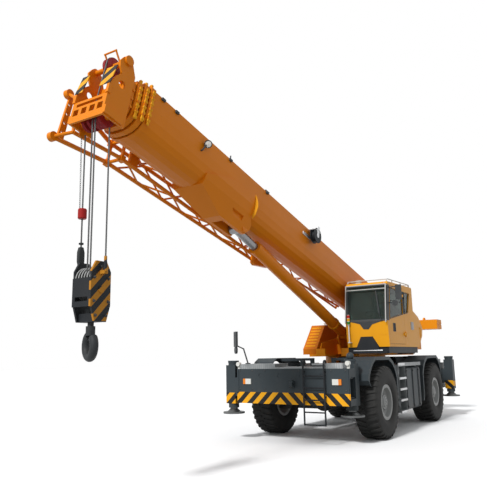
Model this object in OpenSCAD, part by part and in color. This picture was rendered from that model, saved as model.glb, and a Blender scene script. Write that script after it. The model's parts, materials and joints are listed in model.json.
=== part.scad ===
// Two-axle rough-terrain mobile crane with a four-section telescopic boom over the front.
// Millimetres. X points forward, Y to the crane's left, Z up. The ground is Z = 0.
// Everything is drawn about the slewing axis and then moved to the middle of the overall length.

/* [Wheels] */
// overall tyre diameter
tyre_od = 1490; // [1400:5:1560]
// tyre section width
tyre_w = 520; // [480:5:540]
// rim seat diameter under the tyre bead
rim_d = 635; // [620:5:650]
// distance between the front and rear axles
wheelbase = 3770; // [3700:10:3900]
// distance between the tyre centre planes of one axle
track = 2440; // [2400:10:2500]
// king pin distance inside the tyre's centre plane
king_in = 170; // [160:5:180]

/* [Carrier] */
// clear length between the front tyres and the front outrigger box
box_gap = 215; // [200:5:260]
// fore and aft depth of an outrigger box
box_depth = 585; // [570:5:620]
// width of an outrigger box
box_w = 2560; // [2500:10:2620]
// height of an outrigger box
box_h = 700; // [680:5:720]
// plate thickness between the two beam slots of a box
box_wall = 20; // [16:1:24]
// height of the deck boards on the boxes
deck_t = 100; // [60:5:105]
// diameter of the jack floats
float_d = 460; // [400:10:480]

/* [Turntable] */
// boom pivot behind the slewing axis
pivot_back = 1470; // [1440:5:1500]
// boom pivot above the turntable base plate
pivot_up = 1070; // [1050:5:1100]
// rear face of the counterweight behind the slewing axis
tail_back = 3850; // [3750:10:3950]
// length of the counterweight slab
slab_w = 2500; // [2300:10:2600]
// foot of the lift cylinder ahead of the slewing axis
foot_x = 620; // [600:5:640]
// height of the lift cylinder foot above the turntable base plate
foot_up = 530; // [520:1:540]

/* [Cab] */
// inner side of the cab
cab_y0 = 445; // [440:1:460]
// outer side of the cab
cab_y1 = 1430; // [1400:5:1450]
// height of the cab from its floor to its roof
cab_h = 1450; // [1430:5:1480]
// thickness of the cab walls and the door
cab_t = 45; // [40:1:50]
// gap round the cab door
door_gap = 6; // [5:0.5:8]
// door hinge axis outside the cab's face
hinge_out = 18; // [16:1:24]

/* [Boom] */
// boom angle above level at rest
boom_angle = 13.8; // [13:0.1:15]
// width of the base section
boom_w = 750; // [740:1:760]
// top of the base section above the pivot line
boom_top = 490; // [480:5:500]
// belly of the base section below the pivot line
boom_low = 300; // [295:1:310]
// wall of each boom section
boom_t = 12; // [8:1:14]
// narrowing on each side from one section to the next
step_side = 30; // [28:1:31]
// lowering of the top from one section to the next
step_top = 35; // [32:1:38]
// front end of the base section along the boom
base_end = 10000; // [9950:10:10050]
// front end of the fourth section ahead of the base section's end
head_out = 300; // [290:5:310]
// lower head sheave axis below the pivot line
sheave_low = 330; // [320:5:340]

/* [Hook] */
// radius of the rope grooves of the hook block and the lower head
groove_r = 135; // [130:1:138]
// diameter of the hoist rope
rope_d = 18; // [14:1:20]
// top of the hook block
block_top = 2970; // [2940:10:3000]
// lowest point of the hook
hook_low = 1690; // [1670:10:1720]

/* [Hidden] */
$fn = 48;
fit = 0.05;
seat = 0.3;
pivot_x = -pivot_back;
axle_z = tyre_od / 2;
tyre_r = tyre_od / 2;
front_ax = wheelbase / 2 + 55;
rear_ax = 55 - wheelbase / 2;
king_y = track / 2 - king_in;
frame_z0 = axle_z + 155;
frame_z1 = frame_z0 + 500;
ring_z = frame_z1 + 30;
slew_z = ring_z + 110;
base_z = slew_z + 160;
floor_z = base_z + 50;
pivot_z = base_z + pivot_up;
foot_z = base_z + foot_up;
box_rear = front_ax + tyre_r + box_gap;
box_front = box_rear + box_depth;
tail_in = rear_ax - tyre_r - box_gap - 110;
box_z0 = frame_z0 - 130;
box_z1 = box_z0 + box_h;
slot_w = (box_depth - 3 * box_wall) / 2;
beam_w = slot_w - 20;
near_in = box_wall + slot_w / 2;
far_in = box_depth - box_wall - slot_w / 2;
near_y = box_w / 2 - 150;
far_y = box_w / 2 + 190;
guard_z = tyre_od + 190;
walk_z = frame_z1 + 50;
side_y = 1400;
head_start = base_end + head_out;
sheave_s = head_start + 200;
sheave_n = -sheave_low;
lug_s = head_start + 330;
lug_n = -490;
lug_r = 70;
front_x = pivot_x + lug_s * cos(boom_angle) - lug_n * sin(boom_angle) + lug_r;
mid_x = (front_x - tail_back) / 2;
hang_x = pivot_x + sheave_s * cos(boom_angle) - sheave_n * sin(boom_angle);
hang_z = pivot_z + sheave_s * sin(boom_angle) + sheave_n * cos(boom_angle);
rod_s = 6980;
rod_n = -boom_low - 120;
rod_x = pivot_x + rod_s * cos(boom_angle) - rod_n * sin(boom_angle);
rod_z = pivot_z + rod_s * sin(boom_angle) + rod_n * cos(boom_angle);
lift_len = sqrt(pow(rod_x - foot_x, 2) + pow(rod_z - foot_z, 2));
lift_angle = atan2(rod_z - foot_z, rod_x - foot_x);
sheave_z = block_top - 370;
cab_z0 = base_z + 190;
cab_z1 = cab_z0 + cab_h;
belt_z = cab_z0 + 560;
eave_z = cab_z1 - cab_t;
hinge_x = 352;
hinge_y = cab_y1 + hinge_out;
hinge_zs = [cab_z0 + 260, cab_z0 + 1160];
door_out = [[366, cab_z0 + 66], [1440, cab_z0 + 66], [1478, belt_z], [1345, cab_z1 - 86], [366,
    cab_z1 - 86]];
door_hole = [[366 - door_gap, cab_z0 + 66 - door_gap], [1440 + door_gap, cab_z0 + 66 - door_gap],
    [1478 + door_gap, belt_z], [1345 + door_gap, cab_z1 - 86 + door_gap],
    [366 - door_gap, cab_z1 - 86 + door_gap]];
door_win = [[435, belt_z + 205], [800, belt_z + 150], [1385, belt_z + 60], [1270, cab_z1 - 135],
    [435, cab_z1 - 165]];
side_win = [[70, belt_z + 257], [310, belt_z + 215], [310, cab_z1 - 165], [-95, cab_z1 - 175]];
right_win = [[-150, belt_z + 40], [1380, belt_z + 20], [1260, cab_z1 - 140], [-150, cab_z1 - 160]];
wall_side = [[-300, cab_z0 + cab_t + seat], [1459.5, cab_z0 + cab_t + seat], [1519.4, belt_z + seat],
    [screen_x(belt_z + seat), belt_z + seat], [screen_x(eave_z - seat), eave_z - seat], [-314,
        eave_z - seat],
    [-314, belt_z + 322], [-300, belt_z + 322]];
yellow = [0.93, 0.55, 0.08];
dark = [0.16, 0.18, 0.2];
grey = [0.45, 0.47, 0.5];
black = [0.05, 0.05, 0.05];

// moves a shape drawn about the slewing axis to the middle of the overall length
module placed() translate([-mid_x, 0, 0]) children();

// a block given by its two corners
module block(x0, x1, y0, y1, z0, z1) translate([x0, y0, z0]) cube([x1 - x0, y1 - y0, z1 - z0]);

// the shape and its mirror image on the crane's other side
module both_sides() {
    children();
    mirror([0, 1, 0]) children();
}

// a flat outline in X and Z, drawn out from y0 to y1
module slab_y(y0, y1, points) translate([0, y1, 0]) rotate([90, 0,
    0]) linear_extrude(y1 - y0) polygon(points);

// a flat outline in Y and Z, drawn out from x0 to x1
module slab_x(x0, x1, points) translate([x0, 0, 0]) rotate([90, 0,
    90]) linear_extrude(x1 - x0) polygon(points);

// a round bar along Y
module bar_y(x, z, y0, y1, r) translate([x, y1, z]) rotate([90, 0, 0]) cylinder(h = y1 - y0, r = r);

// a round bar along X
module bar_x(x0, x1, y, z, r) translate([x0, y, z]) rotate([0, 90, 0]) cylinder(h = x1 - x0, r = r);

// a round bar between two points; a six-sided one is turned a little, so that its edges miss the chords' edges
module bar(p, q, r, n = 8) {
    d = q - p;
    l = norm(d);
    turn = n == 6 ? 13 : 0;
    translate(p) rotate([0, acos(d[2] / l), atan2(d[1], d[0])]) rotate([0, 0, turn])
        cylinder(h = l, r = r, $fn = n);
}

// boom frame: X runs along the boom from its pivot, Z is up across it
module on_boom() translate([pivot_x, 0, pivot_z]) rotate([0, -boom_angle, 0]) children();

module chassis_frame() color(dark) placed() {
    difference() {
        union() {
            both_sides() block(tail_in, box_rear, 300, 420, frame_z0, frame_z1);
            block(-880, 880, -420, 420, frame_z1, ring_z);
            translate([0, 0, ring_z]) cylinder(h = slew_z - ring_z, r = 740);
            for (x = [tail_in + 50, rear_ax + 580, -80, front_ax - 690, box_rear - 150])
                block(x, x + 100, -310, 310, frame_z0 + 200, frame_z1 - 10);
        }
        translate([0, 0, ring_z]) cylinder(h = 200, r = 600);
        both_sides() for (x = [-700, -200, 100]) translate([x, 430, frame_z0 + 250]) rotate([90, 0, 0])
            cylinder(h = 140, r = 90);
    }
}

// one outrigger box from its inner face at X = 0 to its outer face, open for a beam on either side;
// the near beam's jack stands in a notch on the left
module outrigger_box() {
    half = box_w / 2;
    difference() {
        block(0, box_depth, -half, half, box_z0, box_z1);
        for (x = [box_wall, box_depth - box_wall - slot_w])
            block(x, x + slot_w, -box_w, box_w, box_z0 + 130, box_z0 + 530);
        block(-1, box_wall + slot_w, near_y - 135, box_w, box_z0 - 1, box_z1 + 1);
        for (y = [-700, -250, 250, 700]) translate([box_depth - 8, y, box_z0 + 560]) rotate([0, 90, 0])
            cylinder(h = 20, r = 45);
    }
    for (x = [near_in, far_in]) both_sides()
        block(x - 60, x + 60, near_y - 300, near_y - 160, box_z0 + 125, box_z0 + 140 - seat);
    // end plates and the towing eye on the outer face
    both_sides() block(box_depth - 12, box_depth + 12, half - 45, half - 15, box_z0 + 20, box_z1 - 20);
    difference() {
        union() {
            block(box_depth - 10, box_depth + 40, 20, 95, box_z0 + 330, box_z0 + 470);
            translate([box_depth + 40, 95, box_z0 + 400]) rotate([90, 0, 0]) cylinder(h = 75, r = 70);
        }
        bar_y(box_depth + 45, box_z0 + 400, 0, 120, 32);
    }
}

module outrigger_boxes() color(dark) placed() {
    translate([box_rear, 0, 0]) outrigger_box();
    translate([tail_in, 0, 0]) rotate([0, 0, 180]) outrigger_box();
}

// boards on top of one outrigger box, drawn as the box is
module box_deck() {
    top = box_z1 + deck_t;
    difference() {
        union() {
            block(10, box_depth - 5, 490, 1146, box_z1, top);
            block(10, box_depth - 5, -1200, -350, box_z1, top);
            block(10, box_depth - 5, -350, 490, box_z1, box_z1 + 30);
        }
        block(0, box_wall + slot_w + 5, near_y - 140, box_w, box_z1 - 1, top + 1);
        for (y = [-1050, -800, -550, 620, 820]) block(60, box_depth - 60, y, y + 20, top - 6, top + 1);
    }
}

module deck_plates() color(grey) placed() {
    translate([box_rear, 0, 0]) box_deck();
    translate([tail_in, 0, 0]) rotate([0, 0, 180]) box_deck();
    both_sides() {
        block(-770, 950, 755, side_y, walk_z, walk_z + 30);
        block(-770, 950, side_y - 15, side_y, walk_z + 10, walk_z + 80);
        for (x = [-700, 350]) block(x, x + 80, 800, 1300, walk_z - 30, walk_z + 5);
    }
    for (x = [478, 940]) block(x, x + 10, 1000, side_y, 440, walk_z + 10);
    for (z = [455, 705, 945, 1185]) {
        block(480, 945, 1080, side_y, z, z + 25);
        block(480, 945, side_y, side_y + 20, z - 25, z + 25);
    }
}

// arch over a wheel from front to rear about the wheel's axis, moved in towards the axis by t
function guard_arch(t) = [for (p = [[tyre_r + 55, -555], [tyre_r + 140, -465], [tyre_r + 120, -345],
    [tyre_r + 15, -205], [tyre_r - 125, -75], [tyre_r - 275, 0], [325 - tyre_r, 0], [95 - tyre_r, -105],
    [-65 - tyre_r, -245], [-165 - tyre_r, -430], [-175 - tyre_r, -680], [-165 - tyre_r, -915],
    [-225 - tyre_r, -1100]]) let (v = [p[0], p[1] + guard_z - axle_z]) v * (1 - t / norm(v)) + [0, axle_z]];

function backwards(list) = [for (i = [len(list) - 1 : -1 : 0]) list[i]];

// bent plate with a turned-down lip over one wheel
module mudguard(x, flip) translate([x, 0, 0]) mirror([flip, 0, 0]) {
    arm_y = flip == 0 ? 340 : 740;
    slab_y(900, side_y, concat(guard_arch(0), backwards(guard_arch(14))));
    slab_y(side_y - 14, side_y, concat(guard_arch(0), backwards(guard_arch(80))));
    for (p = [-300, 200]) {
        if (flip == 0) block(p, p + 70, 340, 420, frame_z1, guard_z - 20);
        block(p, p + 70, arm_y, 1300, guard_z - 70, guard_z - 12);
    }
}

module mudguards() color(dark) placed() both_sides() {
    mudguard(front_ax, 0);
    mudguard(rear_ax, 1);
}

// tank with rounded long edges, from x0 to x1 on the left
module tank(x0, x1) {
    r = 70;
    z0 = 450;
    z1 = walk_z - 30;
    block(x0, x1, 560, side_y - 30 - r, z0, z1);
    block(x0, x1, 560, side_y - 30, z0 + r, z1 - r);
    for (z = [z0 + r, z1 - r]) bar_x(x0, x1, side_y - 30 - r, z, r);
    for (x = [x0 + 180, (x0 + x1) / 2, x1 - 220]) block(x, x + 40, side_y - 40, side_y - 22, z0 + r,
        z1 - r);
}

module side_tanks() color(grey) placed() {
    for (x = [-500, 300]) both_sides() block(x, x + 100, 420, 570, frame_z0 + 50, frame_z0 + 350);
    tank(-770, 470);
    mirror([0, 1, 0]) tank(-770, 770);
}

module front_ladder() color(dark) placed() {
    for (y = [325, 776]) {
        bar([box_front + 60, y, 390], [box_front + 60, y, box_z1 + 85], 17, 12);
        for (z = [box_z0 + 160, box_z1 - 60]) bar([box_front, y, z], [box_front + 62, y, z], 14, 12);
    }
    for (z = [405, 640, 870, 1100, 1330, 1525]) bar([box_front + 60, 325, z], [box_front + 60, 776, z],
        14, 12);
}

module engine_block() color(grey) placed() {
    block(rear_ax - 820, rear_ax + 380, -260, 260, frame_z0 + 110, frame_z1 - 10);
    for (x = [rear_ax - 570, rear_ax + 30]) block(x, x + 100, -300, 300, frame_z0 + 220, frame_z0 + 320);
}

module engine_hood() color(dark) placed() difference() {
    union() {
        block(tail_in + 20, -900, -740, 740, frame_z1 + 110, frame_z1 + 260);
        block(tail_in + 20, -900, -420, 420, frame_z1, frame_z1 + 260);
    }
    block(tail_in + 40, -920, -720, 720, frame_z1 + 100, frame_z1 + 240);
    block(tail_in + 40, -920, -400, 400, frame_z1 - 10, frame_z1 + 200);
    for (x = [tail_in + 150 : 130 : tail_in + 1100]) block(x, x + 60, -560, 560, frame_z1 + 230,
        frame_z1 + 270);
    for (x = [tail_in + 150 : 130 : tail_in + 1100])
        block(x, x + 60, -800, 800, frame_z1 + 150, frame_z1 + 200);
}

module axle() difference() {
    union() {
        bar_y(0, axle_z, 150 - king_y, king_y - 150, 115);
        translate([0, 0, axle_z]) sphere(r = 230);
        bar_y(-190, axle_z + 20, -420, 420, 42);
        both_sides() {
            block(-200, 0, 180, 240, axle_z - 40, axle_z + 80);
            block(-100, 100, 310, 410, axle_z, frame_z0);
            block(-90, 90, king_y - 180, king_y - 130, axle_z - 190, axle_z + 190);
            block(-75, 75, king_y - 140, king_y + 80, axle_z + 140, axle_z + 190);
            block(-75, 75, king_y - 140, king_y + 80, axle_z - 190, axle_z - 140);
        }
    }
    both_sides() translate([0, king_y, axle_z - 250]) cylinder(h = 500, r = 40 + fit);
}

module axles() color(dark) placed() for (x = [rear_ax, front_ax]) translate([x, 0, 0]) axle();

module headlamps() color([0.9, 0.9, 0.88]) placed() {
    both_sides() {
        block(box_front - 60, box_front - 25, box_w / 2 - 55, box_w / 2 - 5, box_z1, box_z1 + 60);
        bar_x(box_front - 60, box_front + 15, box_w / 2 - 30, box_z1 + 100, 45);
    }
    both_sides() block(box_front, box_front + 25, 925, 1115, box_z0 + 390, box_z0 + 500);
    both_sides() block(tail_in - box_depth - 25, tail_in - box_depth, 925, 1115, box_z0 + 390,
        box_z0 + 500);
}

module carrier_mirror() color(black) placed() {
    x = box_front - 235;
    z = box_z1 + deck_t;
    block(x - 40, x + 40, -1190, -1110, z, z + 20);
    bar([x, -1150, z + 15], [x, -1260, z + 330], 16, 12);
    bar([x, -1260, z + 325], [x + 10, -1440, z + 400], 14, 12);
    translate([x + 25, -1440, z + 370]) rotate([0, 0, -41]) {
        block(-20, 25, -95, 95, 0, 330);
        translate([-20, 0, -70]) rotate([0, 90, 0]) cylinder(h = 40, r = 80);
    }
}

// beam with its jack tube, drawn on the left at the front
module beam(x, y, ball) translate([x, 0, 0]) {
    w = beam_w / 2;
    z0 = box_z0 + 140;
    difference() {
        block(-w, w, 30 - box_w / 2, y - 115, z0, z0 + 380);
        block(16 - w, w - 16, 20 - box_w / 2, y - 150, z0 + 16, z0 + 364);
    }
    difference() {
        union() {
            block(-w, w, y - 120, y + 115, z0 - 160, z0 + 640);
            translate([0, y, z0 - 250]) cylinder(h = 985, r = 112);
            translate([0, y, z0 + 690]) cylinder(h = 45, r = 120);
            if (ball) translate([0, y, z0 + 790]) sphere(r = 75);
        }
        translate([0, y, z0 - 260]) cylinder(h = 970, r = 80 + fit);
    }
}

module jack(x, y) translate([x, y, 0]) {
    translate([0, 0, 600]) cylinder(h = 1000, r = 80);
    translate([0, 0, 540]) cylinder(h = 35, r = float_d / 2);
    translate([0, 0, 575]) cylinder(h = 65, r1 = 150, r2 = 80);
}

module beam_fl() color(dark) placed() beam(box_rear + near_in, near_y, true);
module beam_fr() color(dark) placed() mirror([0, 1, 0]) beam(box_rear + far_in, far_y, false);
module beam_rl() color(dark) placed() beam(tail_in - far_in, far_y, false);
module beam_rr() color(dark) placed() mirror([0, 1, 0]) beam(tail_in - near_in, near_y, true);
module jack_fl() color(grey) placed() jack(box_rear + near_in, near_y);
module jack_fr() color(grey) placed() mirror([0, 1, 0]) jack(box_rear + far_in, far_y);
module jack_rl() color(grey) placed() jack(tail_in - far_in, far_y);
module jack_rr() color(grey) placed() mirror([0, 1, 0]) jack(tail_in - near_in, near_y);

// steered hub carrier: king pin and wheel spindle
module knuckle(x) translate([x, 0, axle_z]) {
    translate([0, king_y, -130]) cylinder(h = 260, r = 75);
    translate([0, king_y, -190]) cylinder(h = 380, r = 40);
    bar_y(0, 0, king_y, track / 2 + 140, 65);
}

module knuckle_fl() color(grey) placed() knuckle(front_ax);
module knuckle_fr() color(grey) placed() mirror([0, 1, 0]) knuckle(front_ax);
module knuckle_rl() color(grey) placed() knuckle(rear_ax);
module knuckle_rr() color(grey) placed() mirror([0, 1, 0]) knuckle(rear_ax);

// wheel axis along Y, outer side towards +Y
module on_hub(x) translate([x, track / 2, axle_z]) rotate([-90, 0, 0]) children();

module tyre(x) {
    r0 = rim_d / 2 + fit;
    r1 = tyre_r;
    w = tyre_w / 2;
    on_hub(x) rotate_extrude() polygon([[r0, -194], [r0 + 48, -194], [r0 + 80, -0.9 * w], [r0 + 180,
        -0.99 * w],
        [r1 - 150, -w], [r1 - 60, -0.94 * w], [r1 - 15, -0.82 * w], [r1, -0.7 * w],
        [r1, 0.7 * w], [r1 - 15, 0.82 * w], [r1 - 60, 0.94 * w], [r1 - 150, w],
        [r0 + 180, 0.99 * w], [r0 + 80, 0.9 * w], [r0 + 48, 194], [r0, 194]]);
}

module rim(x) {
    r0 = rim_d / 2;
    on_hub(x) rotate_extrude() polygon([[65 + fit, -10], [150, -10], [150, 70], [r0 - 60, 55],
        [r0 - 25, 20],
        [r0 - 20, -215], [r0 + 42, -215], [r0 + 42, -195], [r0, -195], [r0, 195], [r0 + 42, 195],
        [r0 + 42, 215], [r0 - 20, 215], [r0 - 25, 120], [r0 - 60, 85], [150, 100], [140, 170],
            [65 + fit, 175]]);
}

module tyre_fl() color(black) placed() tyre(front_ax);
module tyre_fr() color(black) placed() mirror([0, 1, 0]) tyre(front_ax);
module tyre_rl() color(black) placed() tyre(rear_ax);
module tyre_rr() color(black) placed() mirror([0, 1, 0]) tyre(rear_ax);
module rim_fl() color(grey) placed() rim(front_ax);
module rim_fr() color(grey) placed() mirror([0, 1, 0]) rim(front_ax);
module rim_rl() color(grey) placed() rim(rear_ax);
module rim_rr() color(grey) placed() mirror([0, 1, 0]) rim(rear_ax);

module turntable_frame() color(yellow) placed() {
    difference() {
        union() {
            translate([0, 0, slew_z + seat]) cylinder(h = base_z - slew_z + 20 - seat, r = 740);
            block(-2850, 1330, -620, 620, base_z, floor_z);
            both_sides() slab_y(400, 430, [[-2250, floor_z - 10], [-2100, base_z + 650], [-1720,
                pivot_z + 190],
                [-1240, pivot_z + 190], [-1050, pivot_z - 70], [150, base_z + 450], [1050, base_z + 320],
                [1250, floor_z - 10]]);
            block(130, 180, -410, 410, floor_z - 10, base_z + 290);
            block(-2250, -2210, -410, 410, floor_z - 10, base_z + 600);
            block(-2850, -2810, -620, 620, floor_z - 10, base_z + 800);
            both_sides() slab_y(330, 360, [[-2800, floor_z - 10], [-2800, base_z + 700], [-2650,
                base_z + 920],
                [-2400, base_z + 920], [-2300, base_z + 700], [-2300, floor_z - 10]]);
            both_sides() block(1290, 1330, 210, 440, floor_z - 10, base_z + 180);
            bar_y(pivot_x, pivot_z, -440, 440, 85);
            both_sides() bar_y(pivot_x, pivot_z, 425, 450, 130);
        }
        translate([0, 0, slew_z - 40]) cylinder(h = 190, r = 600);
        block(180, 1400, -200, 200, slew_z - 40, floor_z + 1);
        both_sides() bar_y(-1800, base_z + 500, 390, 440, 120);
    }
    both_sides() slab_y(100, 130, [[170, floor_z - 10], [170, base_z + 280], [foot_x - 90, foot_z + 110],
        [foot_x + 60, foot_z + 110], [foot_x + 130, foot_z + 40], [foot_x + 130, foot_z - 120],
        [foot_x - 100, floor_z - 10]]);
    both_sides() bar_y(foot_x, foot_z, 125, 150, 90);
}

module counterweight() color(yellow) placed() {
    z = base_z + 730;
    difference() {
        union() {
            block(-3400, -2850, -700, 700, base_z + 150, z + 270);
            block(-tail_back, -3250, -slab_w / 2, slab_w / 2, z, z + 125);
            block(-tail_back, -3250, -slab_w / 2, slab_w / 2, z + 145, z + 270);
            block(15 - tail_back, -3250, 15 - slab_w / 2, slab_w / 2 - 15, z + 100, z + 170);
            for (y = [-800, 800]) slab_y(y - 20, y + 20, [[-3640, z + 260], [-3640, z + 310], [-3600,
                z + 350],
                [-3520, z + 350], [-3480, z + 310], [-3480, z + 260]]);
        }
        for (y = [-800, 800]) bar_y(-3560, z + 310, y - 30, y + 30, 22);
        for (y = [-1, 1]) translate([-tail_back, y * slab_w / 2, z - 1]) rotate([0, 0, 45])
            cube([170, 170, 600], center = true);
    }
}

module main_winch() color(grey) placed() {
    bar_y(-2530, base_z + 650, -330, 330, 190);
    both_sides() bar_y(-2530, base_z + 650, 290, 330, 270);
}

module right_hood() color(yellow) placed() {
    difference() {
        slab_y(-800, -440, [[-900, floor_z], [1300, floor_z], [1300, floor_z + 130], [780, floor_z + 710],
            [-900, floor_z + 710]]);
        for (x = [-700 : 110 : -100]) block(x, x + 55, -820, -790, floor_z + 330, floor_z + 560);
        block(-600, 500, -820, -795, floor_z + 60, floor_z + 250);
    }
    translate([330, -620, floor_z + 700]) cylinder(h = 70, r = 45);
}

// the black tub below the cab, with the foot panel that stands up through the cab's front
module cab_base() color(black) placed() {
    block(-640, 1470, cab_y0, cab_y1 - 30, floor_z, cab_z0);
    slab_x(1462, 1534, [[668, cab_z0 - 60], [1189, cab_z0 - 60], [1180, cab_z0 + 10], [1053, cab_z0 + 225],
        [778, cab_z0 + 225], [677, cab_z0 + 10]]);
    block(1462, 1512, cab_y0 + 40, cab_y1 - 60, floor_z, cab_z0 - 90);
}

// front line of the cab: a leaning screen above a belt line
function screen_x(z) = 1565 - (z - belt_z) * 135 / (cab_z1 - belt_z);

// part of the cab's left wall inside a box of X and Z
module left_wall(x0, x1, z0, z1) intersection() {
    difference() {
        slab_y(cab_y1 - cab_t, cab_y1, wall_side);
        slab_y(cab_y1 - cab_t - 1, cab_y1 + 1, door_hole);
        slab_y(cab_y1 - cab_t - 1, cab_y1 + 1, side_win);
    }
    block(x0, x1, cab_y1 - cab_t - 2, cab_y1 + 2, z0, z1);
}

// the cab's panels, each its own piece with a fine joint to the next
module cab_shell() color(yellow) placed() {
    block(-300, 1454, cab_y0, cab_y1, cab_z0, cab_z0 + cab_t);
    difference() {
        slab_y(cab_y0, cab_y1, [[1455, cab_z0], [1500, cab_z0], [1565, belt_z], [1520, belt_z]]);
        slab_x(1400, 1600, [[663, cab_z0 - 1], [1194, cab_z0 - 1], [1186, cab_z0 + 8], [1057, cab_z0 + 230],
            [774, cab_z0 + 230], [671, cab_z0 + 8]]);
        block(1525, 1700, cab_y0 - 1, 640, cab_z0 + 258, cab_z0 + 264);
        block(1525, 1700, 1215, cab_y1 + 1, cab_z0 + 258, cab_z0 + 264);
    }
    difference() {
        slab_y(cab_y0, cab_y0 + cab_t, wall_side);
        slab_y(cab_y0 - 1, cab_y0 + cab_t + 1, right_win);
    }
    left_wall(-400, 359.7, 0, 5000);
    left_wall(360.2, 1600, 0, cab_z0 + 59.7);
    left_wall(360.2, 1600, cab_z1 - 79.7, 5000);
    left_wall(600, 1600, cab_z0 + 60.2, cab_z1 - 80.2);
    for (z = hinge_zs) {
        translate([hinge_x, hinge_y, z - 30]) cylinder(h = 120, r = 8);
        for (d = [-30, 60 + seat])
            block(hinge_x - 50, hinge_x + 10, cab_y1 - 1, hinge_y + 10, z + d, z + d + 30 - seat);
    }
    difference() {
        slab_y(cab_y0, cab_y1, [[-360, eave_z], [screen_x(eave_z), eave_z], [screen_x(cab_z1) - 30, cab_z1],
            [-330, cab_z1]]);
        block(450, 1150, cab_y0 + 150, cab_y1 - 150, eave_z - 1, cab_z1 + 1);
    }
    difference() {
        block(-360, -314 - seat, cab_y0, cab_y1, belt_z + 321, eave_z - seat);
        block(-400, -300, cab_y0 + 150, cab_y1 - 150, belt_z + 380, eave_z - 80);
    }
    difference() {
        slab_y(cab_y0, cab_y1, [[-360, belt_z + 320], [-760, belt_z + 190], [-1080, belt_z - 60],
            [-1020, belt_z - 280], [-690, cab_z0], [-300 - seat, cab_z0], [-300 - seat, belt_z + 320]]);
        block(-900, -450, cab_y1 - 12, cab_y1 + 1, belt_z - 330, belt_z - 60);
    }
}

module cab_glass() color([0.2, 0.25, 0.28]) placed() {
    z0 = belt_z + 1;
    z1 = eave_z - 1;
    slab_y(cab_y0 + cab_t + 1, cab_y1 - cab_t - 1, [[screen_x(z0) - 14, z0], [screen_x(z0) - 4, z0],
        [screen_x(z1) - 4, z1], [screen_x(z1) - 14, z1]]);
    slab_y(cab_y1 - 24, cab_y1 - 16, side_win);
    slab_y(cab_y0 + 16, cab_y0 + 24, right_win);
    block(-341, -333, cab_y0 + 150, cab_y1 - 150, belt_z + 380, eave_z - 80);
    block(450, 1150, cab_y0 + 150, cab_y1 - 150, cab_z1 - 24, cab_z1 - 16);
}

module cab_interior() color([0.1, 0.1, 0.11]) placed() {
    z = cab_z0 + cab_t;
    block(190, 650, 720, 1150, z, z + 445);
    block(40, 185, 720, 1150, z, z + 1040);
    block(700, 1250, 520, 680, z, z + 615);
    block(1250, 1350, 885, 985, z, z + 60);
    bar([1300, 935, z + 40], [1060, 935, z + 685], 40, 12);
    translate([1050, 935, z + 705]) rotate([0, -22, 0]) {
        rotate_extrude() translate([175, 0]) circle(r = 16);
        translate([0, 0, -30]) cylinder(h = 40, r = 45);
        for (a = [0, 120, 240]) rotate([0, 0, a]) bar([30, 0, -5], [172, 0, 0], 12, 12);
    }
}

// guard rails that stand off the cab's front corners
module cab_rails() color([0.85, 0.85, 0.83]) placed() {
    z1 = eave_z - 40;
    for (y = [cab_y0 + 20, cab_y1 - 20]) {
        bar([screen_x(belt_z) + 60, y, belt_z - 30], [screen_x(z1) + 58, y, z1 + 30], 13, 12);
        for (z = [belt_z + 20, z1]) bar([screen_x(z) + 2, y, z], [screen_x(z) + 62, y, z], 11, 12);
    }
    for (z = [z1 + 20, z1 - 80]) bar([screen_x(z) + 58, cab_y0 + 20, z], [screen_x(z) + 58,
        cab_y1 - 20, z], 11, 12);
}

module cab_door() color(yellow) placed() {
    difference() {
        slab_y(cab_y1 - cab_t, cab_y1, door_out);
        slab_y(cab_y1 - cab_t - 1, cab_y1 + 1, door_win);
        block(1040, 1200, cab_y1 - 20, cab_y1 + 1, cab_z0 + 335, cab_z0 + 525);
        block(300, 1500, cab_y1 - 4, cab_y1 + 1, cab_z0 + 300, cab_z0 + 306);
    }
    block(1060, 1180, cab_y1 - 22, cab_y1 - 6, cab_z0 + 440, cab_z0 + 475);
    difference() {
        for (z = hinge_zs) {
            translate([hinge_x, hinge_y, z]) cylinder(h = 60, r = 16);
            block(hinge_x, 450, hinge_y - 8, hinge_y + 8, z, z + 60);
            block(390, 450, cab_y1 - 2, hinge_y + 8, z, z + 60);
        }
        translate([hinge_x, hinge_y, cab_z0 + 110]) cylinder(h = 1300, r = 8 + fit);
    }
}

module door_glass() color([0.2, 0.25, 0.28]) placed() slab_y(cab_y1 - 24, cab_y1 - 16, door_win);

module cab_mirrors() color(black) placed() {
    z = cab_z1 - 125;
    bar([1308, cab_y1, z], [1308, cab_y1 + 200, z], 12, 12);
    block(1288, 1328, cab_y1 + 140, cab_y1 + 270, z - 290, z + 40);
    bar([1368, cab_y1, z - 355], [1368, cab_y1 + 120, z - 355], 12, 12);
    translate([1353, cab_y1 + 135, z - 370]) rotate([0, 90, 0]) cylinder(h = 30, r = 65);
}

// outline of a boom section: flat sides and top above a folded belly
module boom_outline(half, top, low, c = 40) polygon(concat(
    [[c - half, top], [half - c, top], [half, top - c], [half, 0.567 * low], [0.976 * half, 0],
        [0.901 * half, -0.467 * low], [0.747 * half, -0.733 * low], [0.507 * half, -0.917 * low],
        [0.213 * half, -low]],
    [[-0.213 * half, -low], [-0.507 * half, -0.917 * low], [-0.747 * half, -0.733 * low],
        [-0.901 * half, -0.467 * low], [-0.976 * half, 0], [-half, 0.567 * low], [-half, top - c]]));

// length of boom section between two stations
module boom_solid(s0, s1, half, top, low) translate([s0, 0, 0]) rotate([90, 0, 90]) linear_extrude(s1 - s0)
    boom_outline(half, top, low);

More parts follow.
